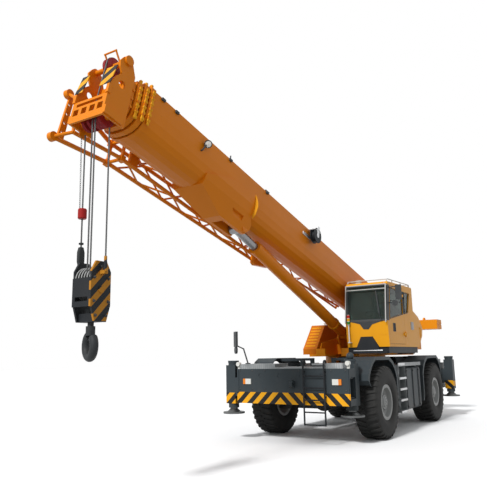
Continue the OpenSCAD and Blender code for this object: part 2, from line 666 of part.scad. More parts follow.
// hollow boom section k with a wider collar at its front end, guide posts on the collar and pad
// adjusters beside it
module boom_tube(s0, s1, k, collar) {
    half = boom_w / 2 - k * step_side;
    top = boom_top - k * step_top;
    low = boom_low - k * step_side;
    e = k == 0 ? 14 : 26;
    difference() {
        union() {
            boom_solid(s0, s1, half, top, low);
            boom_solid(s1 - collar, s1, half + e, top + e, low + e);
            for (y = [-0.5, 0.42]) block(s1 - collar + 10, s1 - 15, y * half - 30, y * half + 30, top,
                top + 110);
            both_sides() for (n = [-0.1, 0.25, 0.62]) bar_y(s1 - collar / 2, n * top, half - 5,
                half + e + 22, 22);
        }
        boom_solid(s0 - 1, s1 + 1, half - boom_t, top - boom_t, low - boom_t);
    }
    if (k < 3) block(s1 - 190, s1 - 10, -180, 180, top - step_top + seat, top - boom_t + 2);
}

// saddle under the boom that takes the lift cylinder's pin: a wide collar round the belly that narrows
// down to the
// two cheeks beside the pin and runs out forward along the belly
module lift_saddle() difference() {
    intersection() {
        slab_x(rod_s - 160, rod_s + 1480, [[-boom_w / 2 - 17, 160], [-boom_w / 2 - 17, -40],
            [30 - boom_w / 2, -210], [-175, rod_n - 115], [175, rod_n - 115], [boom_w / 2 - 30, -210],
            [boom_w / 2 + 17, -40], [boom_w / 2 + 17, 160]]);
        slab_y(-500, 500, [[rod_s + 60, 165], [rod_s + 720, 140], [rod_s + 1470, -120], [rod_s + 1470,
            -boom_low - 2],
            [rod_s + 740, rod_n - 105], [rod_s + 60, rod_n - 120], [rod_s - 60, rod_n - 105],
            [rod_s - 120, rod_n - 20], [rod_s - 100, rod_n + 70], [rod_s - 10, rod_n + 150],
            [rod_s + 25, -80]]);
    }
    boom_solid(rod_s - 300, rod_s + 1600, boom_w / 2 - 6, boom_top, boom_low - 6);
    block(rod_s - 300, rod_s + 560, -110, 110, rod_n - 200, -boom_low - 2);
    both_sides() slab_y(248, 330, [[rod_s + 200, -300], [rod_s + 560, -300], [rod_s + 420, -420],
        [rod_s + 200, -420]]);
}

module boom_base() color(yellow) placed() on_boom() {
    difference() {
        union() {
            boom_tube(-250, base_end, 0, 90);
            bar_y(0, 0, -boom_w / 2, boom_w / 2, 170);
            lift_saddle();
            bar_y(rod_s, rod_n, -205, 205, 50);
            both_sides() bar_y(rod_s, rod_n, 130, 225, 95);
            for (s = [2600, 5200, 7300]) slab_y(-160, -140, [[s, boom_top - 5], [s + 20, boom_top + 60],
                [s + 80, boom_top + 60], [s + 100, boom_top - 5]]);
        }
        bar_y(0, 0, -boom_w, boom_w, 85 + fit);
    }
}

// corner of the stowed jib's lattice: k = 0 at the head end, 1 at the joint of its two pieces;
// u, w pick the chord
function jib_at(k, u, w) = [9550 - 4250 * k, u == 0 ? -455 : -770 + 160 * k,
    w == 0 ? -300 - 50 * k : 50 - 20 * k];

// corner of the jib's second, slimmer piece
function tip_at(k, u) = [5285 - 3955 * k, u == 1 ? -590 + 60 * k : -460,
    [20 - 20 * k, -150, -330 + 220 * k][u]];

// forged corner of the lattice that joins the chords on either side of it
module jib_corner(k, u, w, back) translate(jib_at(k, u, w)) block(-45 - back, 45, -43, 43, -50, 50);

module fly_jib() color(yellow) placed() on_boom() {
    bays = 7;
    low = [lug_s, -725, lug_n];
    high = [lug_s - 70, -725, 290];
    inner = [lug_s - 60, -470, 120];
    knee = [lug_s - 130, -470, -400];
    for (u = [0, 1]) for (w = [0, 1]) {
        bar(jib_at(0, u, w), jib_at(1, u, w), 34);
        jib_corner(0, u, w, 0);
        jib_corner(1, u, w, 15);
    }
    for (i = [0 : bays - 1]) {
        k0 = 0.03 + 0.93 * i / bays;
        k1 = 0.03 + 0.93 * (i + 1) / bays;
        for (w = [0, 1]) bar(jib_at(k0, i % 2, w), jib_at(k1, 1 - i % 2, w), 17, 6);
        for (u = [0, 1]) bar(jib_at(k0 + 0.012, u, i % 2), jib_at(k1 + 0.012, u, 1 - i % 2), 17, 6);
    }
    for (k = [0, 1]) {
        for (w = [0, 1]) bar(jib_at(k, 0, w), jib_at(k, 1, w), 28);
        for (u = [0, 1]) bar(jib_at(k, u, 0), jib_at(k, u, 1), 28);
    }
    // flared foot frame with the pin lugs
    bar(jib_at(-0.005, 1, 0), low, 36);
    bar(jib_at(-0.005, 1, 1), high, 36);
    bar(jib_at(-0.005, 0, 1), inner, 32);
    bar(jib_at(-0.005, 0, 0), knee, 32);
    bar(knee, low, 26);
    bar(inner, high, 26);
    bar(knee, inner, 24);
    difference() {
        slab_y(-745, -705, [[lug_s - 170, lug_n + 20], [lug_s - 60, lug_n + 20], [lug_s - 90, 280],
            [lug_s - 170, 280]]);
        for (n = [-350, -190, -30, 130]) bar_y(lug_s - 122, n, -800, -600, 26);
    }
    bar_y(low[0], low[2], -765, -685, lug_r);
    bar_y(high[0], high[2], -765, -685, lug_r);
    bar_y(inner[0], inner[2], -510, -430, 50);
    // stow brackets on the boom's side and the plate below the joint
    for (s = [9220, 5120]) {
        block(s, s + 160, -480, -boom_w / 2, 180, 232);
        block(s - 6, s + 166, -497, -437, -312 - (9220 - s) / 130, 240);
    }
    slab_y(-524, -440, [[5600, -262], [5600, -500], [5520, -530], [4980, -390], [4930, -350], [4930, -235]]);
    // second piece
    for (u = [0, 1, 2]) bar(tip_at(u == 1 ? -0.006 : 0, u), tip_at(1, u), 25);
    for (i = [0 : 7]) {
        bar(tip_at(0.03 + 0.118 * i, i % 2 * 2), tip_at(0.148 + 0.118 * i, 2 - i % 2 * 2), 14, 6);
        bar(tip_at(0.06 + 0.115 * i, i % 2), tip_at(0.175 + 0.115 * i, 1 - i % 2), 14, 6);
    }
    for (u = [0, 2]) bar(tip_at(0.99, u), tip_at(0.99, 1), 18);
    bar(tip_at(0.99, 0), tip_at(0.99, 2), 18);
}

module cable_reel() color(black) placed() on_boom() {
    bar_y(4750, 330, boom_w / 2, boom_w / 2 + 70, 45);
    bar_y(4750, 330, boom_w / 2 + 70, boom_w / 2 + 85, 165);
    bar_y(4750, 330, boom_w / 2 + 80, boom_w / 2 + 165, 110);
    bar_y(4750, 330, boom_w / 2 + 160, boom_w / 2 + 175, 165);
}

module boom_section_2() color(yellow) placed() on_boom() boom_tube(500, base_end + 110, 1, 90);
module boom_section_3() color(yellow) placed() on_boom() boom_tube(650, base_end + 220, 2, 90);
module boom_section_4() color(yellow) placed() on_boom() boom_tube(800, head_start, 3, 60);

// head on the fourth section: two side plates, an open box round the lower sheaves and a yoke for the
// top sheave
module boom_head() color(yellow) placed() on_boom() {
    half = 300;
    s = head_start;
    difference() {
        union() {
            block(s, s + 30, -half - 30, half + 30, -285, 400);
            both_sides() slab_y(half, half + 30, [[s, 430], [s + 90, 600], [s + 210, 640], [s + 270, 600],
                [s + 320, 505], [s + 300, 420], [s + 240, 330], [s + 330, 230], [s + 400, 60],
                    [s + 405, -90],
                [s + 405, -440], [s, -430]]);
            block(s + 375, s + 405, -half - 20, half + 20, -440, -100);
        }
        both_sides() bar_y(s + 200, 170, half - 10, half + 60, 60);
        for (y = [-230, -70, 90, 240]) block(s + 360, s + 420, y - 55, y + 45, -330, -230);
        block(s + 360, s + 420, -250, 250, -190, -140);
    }
    both_sides() block(s + 60, s + 405, half + 20, half + 60, -420, -300);
    both_sides() block(s + 360, s + 420, half - 5, half + 45, -100, 40);
    bar_y(sheave_s, sheave_n, -half - 45, half + 45, 45);
    bar_y(s + 180, 590, -half - 45, half + 45, 40);
    both_sides() bar_y(s + 180, 590, half + 20, half + 60, 75);
    for (y = [-110, 110]) bar([s + 90, y, 600], [s + 270, y, 800], 14, 12);
    bar([s + 268, -122, 798], [s + 268, 122, 798], 14, 12);
    for (y = [-110, 110]) bar_y(s + 95, 600, y - 15, y + 15, 30);
    for (y = [-110, 110]) block(s + 20, s + 100, y - 14, y + 14, 380, 605);
    block(s + 120, s + 220, -half - 5, 20 - half, -520, -425);
}

// grooved rope wheel about Y
module sheave(x, y, z, r, w, bore) translate([x, y, z]) rotate([90, 0,
    0]) rotate_extrude() polygon([[bore, -w / 2],
    [r + 14, -w / 2], [r, -w / 6], [r, w / 6], [r + 14, w / 2], [bore, w / 2]]);

module head_sheaves() color([0.4, 0.08, 0.08]) placed() on_boom() {
    for (y = [-156, -52, 52, 104, 156]) sheave(sheave_s, y, sheave_n, groove_r - 9, 46, 45 + fit);
    for (y = [-30, 30]) sheave(head_start + 180, y, 590, 120, 46, 40 + fit);
}

// lift cylinder frame: X runs from the boom pin down to the foot
module on_lift() translate([rod_x, 0, rod_z]) rotate([0, 180 - lift_angle, 0]) children();

module lift_rod() color([0.8, 0.8, 0.82]) placed() on_lift() difference() {
    union() {
        bar_y(0, 0, -85, 85, 95);
        translate([60, 0, 0]) rotate([0, 90, 0]) cylinder(h = 3340, r = 78);
    }
    bar_y(0, 0, -100, 100, 50 + fit);
}

module lift_barrel() color(yellow) placed() on_lift() difference() {
    union() {
        translate([700, 0, 0]) rotate([0, 90, 0]) cylinder(h = lift_len - 930, r = 125);
        translate([700, 0, 0]) rotate([0, 90, 0]) cylinder(h = 120, r = 132);
        translate([lift_len - 700, 0, 0]) rotate([0, 90, 0]) cylinder(h = 60, r = 134);
        block(lift_len - 240, lift_len, -85, 85, -90, 90);
        bar_y(lift_len, 0, -85, 85, 120);
    }
    translate([690, 0, 0]) rotate([0, 90, 0]) cylinder(h = lift_len - 970, r = 78 + fit);
    bar_y(lift_len, 0, -100, 100, 60);
}

module hoist_falls() color(grey) placed() {
    for (y = [52, 104]) translate([hang_x + groove_r + 0.5, y, sheave_z])
        cylinder(h = hang_z - sheave_z, r = rope_d / 2);
    for (y = [-235, 235]) translate([hang_x, y, block_top + 60]) cylinder(h = hang_z - block_top - 240,
        r = rope_d / 2);
}

module block_frame() color(dark) placed() translate([hang_x, 0, 0]) {
    difference() {
        union() {
            both_sides() slab_y(140, 171, [[-100, 2190], [-165, 2400], [-165, block_top - 130], [-90,
                block_top],
                [90, block_top], [165, block_top - 130], [165, 2400], [100, 2190]]);
            block(-80, 80, -171, 171, 2190, 2300);
            bar_y(0, sheave_z, -185, 185, 45);
            difference() {
                block(163, 175, -171, 171, 2380, sheave_z + 150);
                block(150, 190, -120, 110, sheave_z - 150, sheave_z - 95);
            }
            both_sides() block(150, 175, 140, 171, 2380, sheave_z + 150);
            both_sides() block(-30, 30, 165, 255, block_top - 170, block_top - 120);
            both_sides() translate([0, 235, block_top - 140]) cylinder(h = 130, r1 = 30, r2 = 22);
            both_sides() translate([0, 235, block_top - 20]) cylinder(h = 80 - seat, r = 20);
        }
        translate([0, 0, 2100]) cylinder(h = 300, r = 40 + fit);
    }
}

module block_sheaves() color(grey) placed() for (y = [-104, -52, 0, 52, 104])
    sheave(hang_x, y, sheave_z, groove_r - 9, 44, 45 + fit);

module hook() color(black) placed() translate([hang_x, 0, 0]) rotate([0, 0, -112.5]) {
    translate([0, 0, hook_low + 340]) cylinder(h = 2330 - hook_low - 340, r = 40);
    translate([0, 0, 2300]) cylinder(h = 50, r = 75);
    translate([0, 0, hook_low + 330]) cylinder(h = 120, r = 60);
    translate([0, 0, hook_low + 200]) rotate([90, 0, 0]) rotate([0, 0, -225])
        rotate_extrude(angle = 300) translate([145, 0]) circle(r = 55);
    bar([-120, 0, hook_low + 330], [110, 0, hook_low + 255], 14, 8);
}

chassis_frame();
outrigger_boxes();
deck_plates();
mudguards();
side_tanks();
front_ladder();
engine_block();
engine_hood();
axles();
headlamps();
carrier_mirror();
beam_fl();
beam_fr();
beam_rl();
beam_rr();
jack_fl();
jack_fr();
jack_rl();
jack_rr();
knuckle_fl();
knuckle_fr();
knuckle_rl();
knuckle_rr();
tyre_fl();
tyre_fr();
tyre_rl();
tyre_rr();
rim_fl();
rim_fr();
rim_rl();
rim_rr();
turntable_frame();
counterweight();
main_winch();
right_hood();
cab_base();
cab_shell();
cab_glass();
cab_interior();
cab_rails();
cab_door();
door_glass();
cab_mirrors();
boom_base();
fly_jib();
cable_reel();
boom_section_2();
boom_section_3();
boom_section_4();
boom_head();
head_sheaves();
lift_rod();
lift_barrel();
hoist_falls();
block_frame();
block_sheaves();
hook();
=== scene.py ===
# %% [markdown]
# # A two-axle rough-terrain crane
# The CAD model already holds the carrier, the wheels, the cab, the boom and the hook block as separate solids in
# metres. This notebook gives them finishes and adds what is better made as a mesh: tyre lugs, ropes, stripes,
# bolts and trim.

# %% Load the imported crane
import bpy, json, math
from mathutils import Matrix, Vector


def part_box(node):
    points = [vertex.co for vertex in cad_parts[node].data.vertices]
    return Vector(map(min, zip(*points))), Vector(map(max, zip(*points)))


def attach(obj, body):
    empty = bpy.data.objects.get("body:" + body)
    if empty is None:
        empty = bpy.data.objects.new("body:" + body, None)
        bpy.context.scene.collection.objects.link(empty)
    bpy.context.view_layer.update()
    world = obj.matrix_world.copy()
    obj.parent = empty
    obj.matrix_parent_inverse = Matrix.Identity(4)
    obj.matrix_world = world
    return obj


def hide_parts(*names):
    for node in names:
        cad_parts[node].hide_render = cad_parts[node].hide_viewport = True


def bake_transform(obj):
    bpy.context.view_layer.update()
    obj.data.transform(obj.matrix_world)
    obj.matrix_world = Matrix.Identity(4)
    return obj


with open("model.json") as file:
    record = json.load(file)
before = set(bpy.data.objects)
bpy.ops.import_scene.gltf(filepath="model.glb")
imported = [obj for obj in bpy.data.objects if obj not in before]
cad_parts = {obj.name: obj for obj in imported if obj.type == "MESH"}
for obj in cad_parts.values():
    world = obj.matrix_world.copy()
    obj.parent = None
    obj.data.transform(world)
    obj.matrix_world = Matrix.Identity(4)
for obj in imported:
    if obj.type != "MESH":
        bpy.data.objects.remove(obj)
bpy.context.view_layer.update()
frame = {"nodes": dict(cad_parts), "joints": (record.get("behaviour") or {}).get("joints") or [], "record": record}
nodes = frame["nodes"]
slew_x = next(j["pos_m"][0] for j in frame["joints"] if j["name"] == "slew")

# %% [markdown]
# ## The camera
# The photograph was taken from head height, to the front left, looking a little up at the boom. A camera can be
# placed by eye, but a wheel, the outrigger box and the boom give enough straight edges to work it out, so it is
# written here as a place, three angles and a lens.

# %% Camera
yaw, pitch, roll = (math.radians(v) for v in (212.7, 11.09, -0.98))
ahead = Vector((math.cos(pitch) * math.cos(yaw), math.cos(pitch) * math.sin(yaw), math.sin(pitch)))
flat_right = ahead.cross(Vector((0, 0, 1))).normalized()
flat_up = flat_right.cross(ahead)
right = flat_right * math.cos(roll) + flat_up * math.sin(roll)
up = flat_up * math.cos(roll) - flat_right * math.sin(roll)
eye = bpy.data.cameras.new("photo_camera")
eye.lens, eye.sensor_width, eye.clip_end = 42.74, 36.0, 200.0
camera = bpy.data.objects.new("photo_camera", eye)
bpy.context.collection.objects.link(camera)
stand = Matrix.Translation((slew_x + 14.034, 5.711, 1.722))
camera.matrix_world = stand @ Matrix((right, up, -ahead)).transposed().to_4x4()
bpy.context.scene.camera = camera
print("camera", [round(v, 3) for v in camera.location])

# %% [markdown]
# ## Floor and light
# The crane stands on a pale studio floor under soft light from the front, as on a bright hazy day: the faces that
# look forward are bright and the long left side is in half shade. The world is white only where the camera, a
# reflection or a glass pane sees it; what it throws on the crane is weaker, so colours come out as they are written.
# The floor is pale to the eye in the same way, and throws back only as much light as bare ground would.

# %% Floor and lamps
bpy.context.scene.view_settings.view_transform = "Standard"
bpy.ops.object.select_all(action="DESELECT")
bpy.ops.mesh.primitive_plane_add(size=160, location=(0, 0, 0))
floor = bpy.context.object
floor.name = "studio_floor"
sun = bpy.data.lights.new("hazy_sun", "SUN")
sun.energy, sun.angle = 2.9, math.radians(7)
sun_object = bpy.data.objects.new("hazy_sun", sun)
bpy.context.collection.objects.link(sun_object)
sun_object.rotation_euler = Vector((-0.74, 0.02, -0.6)).to_track_quat("-Z", "Y").to_euler()
print("floor and sun placed")

# %% [markdown]
# ## Writing shader maths
# A shader tree is quicker to read as a sum than as a page of boxes. The small class below wraps one socket: adding
# or multiplying two of them adds a Math node, and one method makes any other node from its settings and its sockets.

# %% Socket wrapper
class Wire:
    """One output socket of the node tree that is being drawn."""
    tree = None

    def __init__(self, socket):
        self.socket = socket

    @classmethod
    def node(cls, kind, settings=None, sockets=None, out=0):
        made = cls.tree.nodes.new("ShaderNode" + kind)
        for key, value in (settings or {}).items():
            setattr(made, key, value)
        for key, value in (sockets or {}).items():
            if isinstance(value, Wire):
                cls.tree.links.new(value.socket, made.inputs[key])
            else:
                made.inputs[key].default_value = value
        return cls(made.outputs[out])

    @classmethod
    def maths(cls, operation, *values):
        return cls.node("Math", {"operation": operation}, dict(enumerate(values)))

    def __add__(self, other):
        return Wire.maths("ADD", self, other)

    def __sub__(self, other):
        return Wire.maths("SUBTRACT", self, other)

    def __rsub__(self, other):
        return Wire.maths("SUBTRACT", other, self)

    def __mul__(self, other):
        return Wire.maths("MULTIPLY", self, other)

    def __gt__(self, other):
        return Wire.maths("GREATER_THAN", self, other)

    def __lt__(self, other):
        return Wire.maths("LESS_THAN", self, other)

    __radd__, __rmul__ = __add__, __mul__


def begin(name, tree=None):
    """Starts an empty material, or empties a tree that exists, and returns the material."""
    made = None
    if tree is None:
        made = bpy.data.materials.new(name)
        made.use_nodes = True
        tree = made.node_tree
    tree.nodes.clear()
    Wire.tree = tree
    return made


def close(shader, kind="Material"):
    Wire.tree.links.new(shader.socket, Wire.tree.nodes.new("ShaderNodeOutput" + kind).inputs["Surface"])


def seen():
    """1 for rays that should meet a white studio: straight views, reflections and views through glass."""
    path = Wire.tree.nodes.new("ShaderNodeLightPath")
    rays = [Wire(path.outputs[k]) for k in ("Is Camera Ray", "Is Glossy Ray", "Is Transmission Ray")]
    return Wire.maths("MINIMUM", rays[0] + rays[1] + rays[2], 1.0)


# %% World and floor
SKY_THROWN, SKY_SEEN = 0.6, 1.0
GROUND, PAPER = (0.34, 0.34, 0.33, 1), (0.95, 0.95, 0.95, 1)
world = bpy.data.worlds.new("studio_world")
world.use_nodes = True
bpy.context.scene.world = world
begin("", world.node_tree)
close(Wire.node("MixShader", {}, {
    0: seen(), 1: Wire.node("Background", {}, {"Color": (0.96, 0.98, 1, 1), "Strength": SKY_THROWN}),
    2: Wire.node("Background", {}, {"Color": (1, 1, 1, 1), "Strength": SKY_SEEN})}), "World")
floor_paper = begin("floor_paper")
fibre = Wire.node("TexNoise", {}, {"Scale": 30.0, "Detail": 4.0})
paper = Wire.node("Mix", {"data_type": "RGBA"}, {0: seen(), 6: GROUND, 7: PAPER}, 2)
close(Wire.node("BsdfPrincipled", {}, {"Base Color": paper, "Roughness": 0.85 + fibre * 0.1}))
floor.data.materials.append(floor_paper)
print("world and floor lit")

# %% [markdown]
# ## Words for surfaces
# Every finish below is built from the same few things: where on the crane a point is, clouds of noise at several
# sizes, and soft steps between two limits. Each CAD node and each finished piece sits at the origin, so its Object
# coordinates are metres in the crane's own frame, and a stripe can be put where the real one is.

# %% Shader helpers
def place():
    return Wire.node("TexCoord", {}, {}, "Object")


def axes(vector):
    split = Wire.node("SeparateXYZ", {}, {0: vector}).socket.node
    return [Wire(split.outputs[k]) for k in range(3)]


def cloud(vector, scale, detail=4.0, stretch=None):
    if stretch:
        vector = Wire.node("VectorMath", {"operation": "MULTIPLY"}, {0: vector, 1: stretch})
    return Wire.node("TexNoise", {}, {"Vector": vector, "Scale": scale, "Detail": detail})


def ramp(value, low, high):
    """0 below low, 1 above high, smooth between; low may be the larger one."""
    return Wire.node("MapRange", {"interpolation_type": "SMOOTHSTEP"},
                     {"Value": value, "From Min": low, "From Max": high})


def mixed(factor, first, second):
    first, second = (c if isinstance(c, Wire) else tuple(c) + (1,) * (4 - len(c)) for c in (first, second))
    return Wire.node("Mix", {"data_type": "RGBA"}, {0: factor, 6: first, 7: second}, 2)


def bumped(height, strength, distance):
    return Wire.node("Bump", {}, {"Strength": strength, "Distance": distance, "Height": height})


def band(value, low, high):
    return (value > low) * (value < high)


# %% [markdown]
# ## Painted steel
# The crane's enamel is sprayed thick: it has a faint orange peel, it is not quite the same tone everywhere, rain has
# drawn grime down it, and stones have chipped it. The boom and the right hood are given a deeper orange than the rest,
# which is painted shade. The same recipe in other colours gives the slate carrier, the black fittings and the pale
# rails. A pattern such as the warning stripes is laid over the paint before the grime.

# %% Enamel recipe
def enamel(name, colour, grime, rough=0.36, worn=1.0, pattern=None, coat=0.02):
    made = begin(name)
    spot = place()
    x, y, z = axes(spot)
    tone, mottle = cloud(spot, 0.7, 5), cloud(spot, 13)
    streak = ramp(cloud(spot, 1.0, 6, (5, 5, 0.9)), 0.5, 0.85) * (0.22 * worn)
    chips = ramp(cloud(spot, 34, 3), 0.70, 0.735) * ramp(tone, 0.45, 0.62) * worn
    paint = mixed(tone, [c * 0.88 for c in colour], [min(c * 1.1, 1) for c in colour])
    if pattern:
        paint = pattern(x, y, z, paint)
    paint = mixed(streak, paint, grime)
    paint = mixed(chips * 0.8, paint, [c * 0.35 for c in grime])
    close(Wire.node("BsdfPrincipled", {}, {
        "Base Color": paint, "Roughness": rough + mottle * 0.12 + streak * 0.4, "Coat Weight": coat,
        "Coat Roughness": 0.12, "Specular IOR Level": 0.12,
        "Normal": bumped(cloud(spot, 210, 2) - chips * 0.6, 0.05, 0.004)}))
    return made


YELLOW, BLACK = (0.80, 0.37, 0.014), (0.018, 0.019, 0.021)
finish = {}
finish["crane_paint"] = enamel("crane_paint", (0.76, 0.262, 0.008), (0.42, 0.13, 0.008), 0.36, 0.6)
# painted shade: the boom's paint is a deeper orange copy of the crane paint, standing for its shaded side
boom_enamel = enamel("boom_enamel", (0.74, 0.215, 0.006), (0.42, 0.12, 0.006), 0.32, 0.4)
# painted shade: the right hood's paint is a darker copy of the crane paint, standing for the boom's shadow on it
hood_enamel = enamel("hood_enamel", (0.54, 0.145, 0.005), (0.3, 0.09, 0.006), 0.36, 0.6)
finish["black_paint"] = enamel("black_paint", (0.02, 0.022, 0.025), (0.05, 0.048, 0.044), 0.42)
finish["rail_paint"] = enamel("rail_paint", (0.5, 0.5, 0.48), (0.4, 0.36, 0.3), 0.3)
finish["rim_paint"] = enamel("rim_paint", (0.36, 0.365, 0.36), (0.12, 0.11, 0.095), 0.4, 1.4)
print("enamels", sorted(finish))

# %% [markdown]
# ### Slate carrier with its warning band
# The carrier is a dark slate blue. Road dust lies on it from the bottom up. The front of the outrigger box carries a
# band of yellow and dark bars that lean away from one peak, which is simply the distance from the peak plus the
# height, cut into equal steps.

# %% Slate and stripes
def dusty(x, y, z, paint):
    dust = ramp(z, 1.25, 0.45) * ramp(cloud(place(), 3.0, 6), 0.35, 0.75)
    return mixed(dust * 0.5, paint, (0.105, 0.098, 0.085))


PEAK_Y, BAR_STEP = -0.235, 0.27
BOX_BAND, JACK_BAND = (0.77, 0.998), (0.752, 0.975)


def bars(y, z, low):
    run = Wire.maths("ABSOLUTE", y - PEAK_Y) + (z - low)
    return Wire.maths("FRACT", run * (1 / BAR_STEP)) < 0.5


def box_band(x, y, z, paint):
    face = Wire.maths("ABSOLUTE", x - slew_x) > 3.47
    mask = face * band(z, *BOX_BAND)
    paint = mixed(mask, dusty(x, y, z, paint), BLACK)
    return mixed(mask * bars(y, z, BOX_BAND[0]), paint, YELLOW)


def jack_band(x, y, z, paint):
    tube = (Wire.maths("ABSOLUTE", y) > 1.34) * band(z, *JACK_BAND)
    paint = mixed(tube, dusty(x, y, z, paint), BLACK)
    return mixed(tube * bars(y, z, JACK_BAND[0]), paint, YELLOW)


SLATE = (0.04, 0.05, 0.056)
finish["carrier_paint"] = enamel("carrier_paint", SLATE, (0.085, 0.08, 0.07), 0.38, 0.8, dusty)
box_slate = enamel("box_slate", SLATE, (0.085, 0.08, 0.07), 0.38, 0.8, box_band)
jack_slate = enamel("jack_slate", SLATE, (0.085, 0.08, 0.07), 0.38, 0.8, jack_band)
print("slate finishes made")

# %% [markdown]
# ### Black and orange cab
# The cab's windscreen pillars, the front of the door frame and the post behind the door glass are black, so that the
# glass reads as one dark wrap. The line between paint and black follows the lean of the screen. Inside, the walls are
# lined with black trim. The cab's orange is a lighter, yellower copy of the crane paint, which is painted light for
# its sunlit front.

# %% Cab enamel
BELT_Z, SCREEN_LEAN = 2.45, 0.135 / 0.89


def cab_dark(x, y, z, paint):
    lean = x - slew_x + (z - BELT_Z) * SCREEN_LEAN
    pillar = (lean > 1.425) * band(z, 2.462, 3.27)
    post = band(x, slew_x + 0.312, slew_x + 0.434) * band(z, 2.66, 3.19)
    room = band(y, 0.47, 1.405) * band(z, 1.9, 3.275) * (x - slew_x - (z - 1.89) * 0.116 < 1.48)
    return mixed(Wire.maths("MAXIMUM", Wire.maths("MAXIMUM", pillar, post), room), paint, BLACK)


# painted light: the cab's orange is a lighter, yellower copy of the crane paint, standing for the sun on its front
cab_enamel = enamel("cab_enamel", (0.77, 0.335, 0.011), (0.42, 0.13, 0.008), 0.3, 0.35, cab_dark, 0.06)


# painted shade: the hook block's warning bars are a dim brownish yellow, standing for the shade on the block's cheek
def shaded_block_bars(x, y, z, paint):
    run = Wire.maths("FRACT", ((x - slew_x - 8.806) + z) * (1 / 0.23))
    return mixed((y > 0.139) * (z > 2.2) * (run < 0.5), paint, (0.47, 0.2, 0.02))


block_enamel = enamel("block_enamel", (0.02, 0.022, 0.025), (0.06, 0.055, 0.05), 0.45, 1.2, shaded_block_bars)


def head_bars(x, y, z, paint):
    run = Wire.maths("FRACT", (z - y * 0.8) * (1 / 0.26))
    return mixed(run < 0.5, BLACK, YELLOW)


head_stripes = enamel("head_stripes", YELLOW, (0.3, 0.13, 0.02), 0.4, 0.6, head_bars)
print("cab, block and head enamels made")

# %% [markdown]
# ## Rubber, plastic, metal and glass
# Tyre rubber is dull and grey with dust, moulded plastic has a fine leather grain, cast steel is rough, ground steel
# is brushed along its length, and the cab's safety glass is tinted. Each gets its own small recipe, because it is
# roughness and bump rather than colour that tells these apart.

# %% Rubber and plastics
def grained(name, colour, dust, rough, grain, depth, share=0.5):
    made = begin(name)
    spot = place()
    patches, fine = cloud(spot, 4.5, 6), cloud(spot, grain, 3)
    colour = mixed(ramp(patches, 0.42, 0.75) * share, colour, dust)
    close(Wire.node("BsdfPrincipled", {}, {
        "Base Color": colour, "Roughness": rough + fine * 0.14, "Specular IOR Level": 0.3,
        "Normal": bumped(fine, 0.25, depth)}))
    return made


finish["tyre_rubber"] = grained("tyre_rubber", (0.019, 0.019, 0.0185), (0.042, 0.04, 0.037), 0.72, 120, 0.004, 0.4)
finish["black_plastic"] = grained("black_plastic", (0.034, 0.038, 0.041), (0.07, 0.07, 0.066), 0.5, 260, 0.002, 0.35)
finish["cab_trim"] = grained("cab_trim", (0.03, 0.031, 0.034), (0.05, 0.05, 0.052), 0.75, 420, 0.002)
finish["sheave_red"] = grained("sheave_red", (0.30, 0.016, 0.02), (0.16, 0.02, 0.02), 0.42, 90, 0.002)
finish["cast_metal"] = grained("cast_metal", (0.05, 0.052, 0.055), (0.1, 0.085, 0.07), 0.5, 70, 0.006)
hook_steel = grained("hook_steel", (0.018, 0.021, 0.023), (0.035, 0.034, 0.032), 0.55, 70, 0.006)


# %% Metals
def metal(name, colour, stain, rough, along):
    made = begin(name)
    spot = place()
    brush, patch = cloud(spot, 30, 4, along), cloud(spot, 2.4, 6)
    close(Wire.node("BsdfPrincipled", {}, {
        "Base Color": mixed(ramp(patch, 0.45, 0.8) * 0.6, colour, stain), "Metallic": 0.9,
        "Roughness": rough + brush * 0.18 + patch * 0.08, "Normal": bumped(brush, 0.08, 0.002)}))
    return made


finish["jack_steel"] = metal("jack_steel", (0.13, 0.135, 0.135), (0.08, 0.07, 0.06), 0.34, (14, 14, 1))
finish["rod_chrome"] = metal("rod_chrome", (0.24, 0.24, 0.245), (0.18, 0.175, 0.17), 0.16, (1, 14, 3))
finish["winch_steel"] = metal("winch_steel", (0.3, 0.3, 0.31), (0.13, 0.11, 0.09), 0.4, (6, 1, 6))
finish["wire_rope"] = metal("wire_rope", (0.11, 0.112, 0.112), (0.07, 0.065, 0.06), 0.5, (9, 9, 2))
bright_steel = metal("bright_steel", (0.62, 0.63, 0.64), (0.3, 0.28, 0.26), 0.28, (3, 3, 9))


# %% Deck plate, lenses and glass
def tread_plate(name):
    made = begin(name)
    spot = place()
    x, y, z = axes(spot)
    rows = [Wire.maths("SINE", (x + y * k) * 95.0) * Wire.maths("SINE", (x - y * k) * 31.0) for k in (1, -1)]
    ribs = ramp(Wire.maths("MAXIMUM", rows[0], rows[1]), 0.55, 0.8)
    worn = ramp(cloud(spot, 2.2, 6), 0.4, 0.7)
    close(Wire.node("BsdfPrincipled", {}, {
        "Base Color": mixed(ribs * worn, mixed(worn, (0.2, 0.215, 0.22), (0.3, 0.315, 0.32)), (0.42, 0.43, 0.43)),
        "Metallic": 0.3, "Roughness": 0.42 - ribs * 0.12 + worn * 0.1, "Normal": bumped(ribs, 0.4, 0.004)}))
    return made


def clear(name, tint, rough, through, bend=1.45, coat=0.4):
    made = begin(name)
    spot = place()
    smear = ramp(cloud(spot, 5, 5, (1, 1, 0.4)), 0.5, 0.8)
    sockets = {"Base Color": mixed(smear * 0.3, tint, [min(c * 1.5 + 0.02, 1) for c in tint]),
               "Roughness": rough + smear * 0.06, "Transmission Weight": through, "IOR": bend, "Coat Weight": coat}
    close(Wire.node("BsdfPrincipled", {}, sockets))
    return made


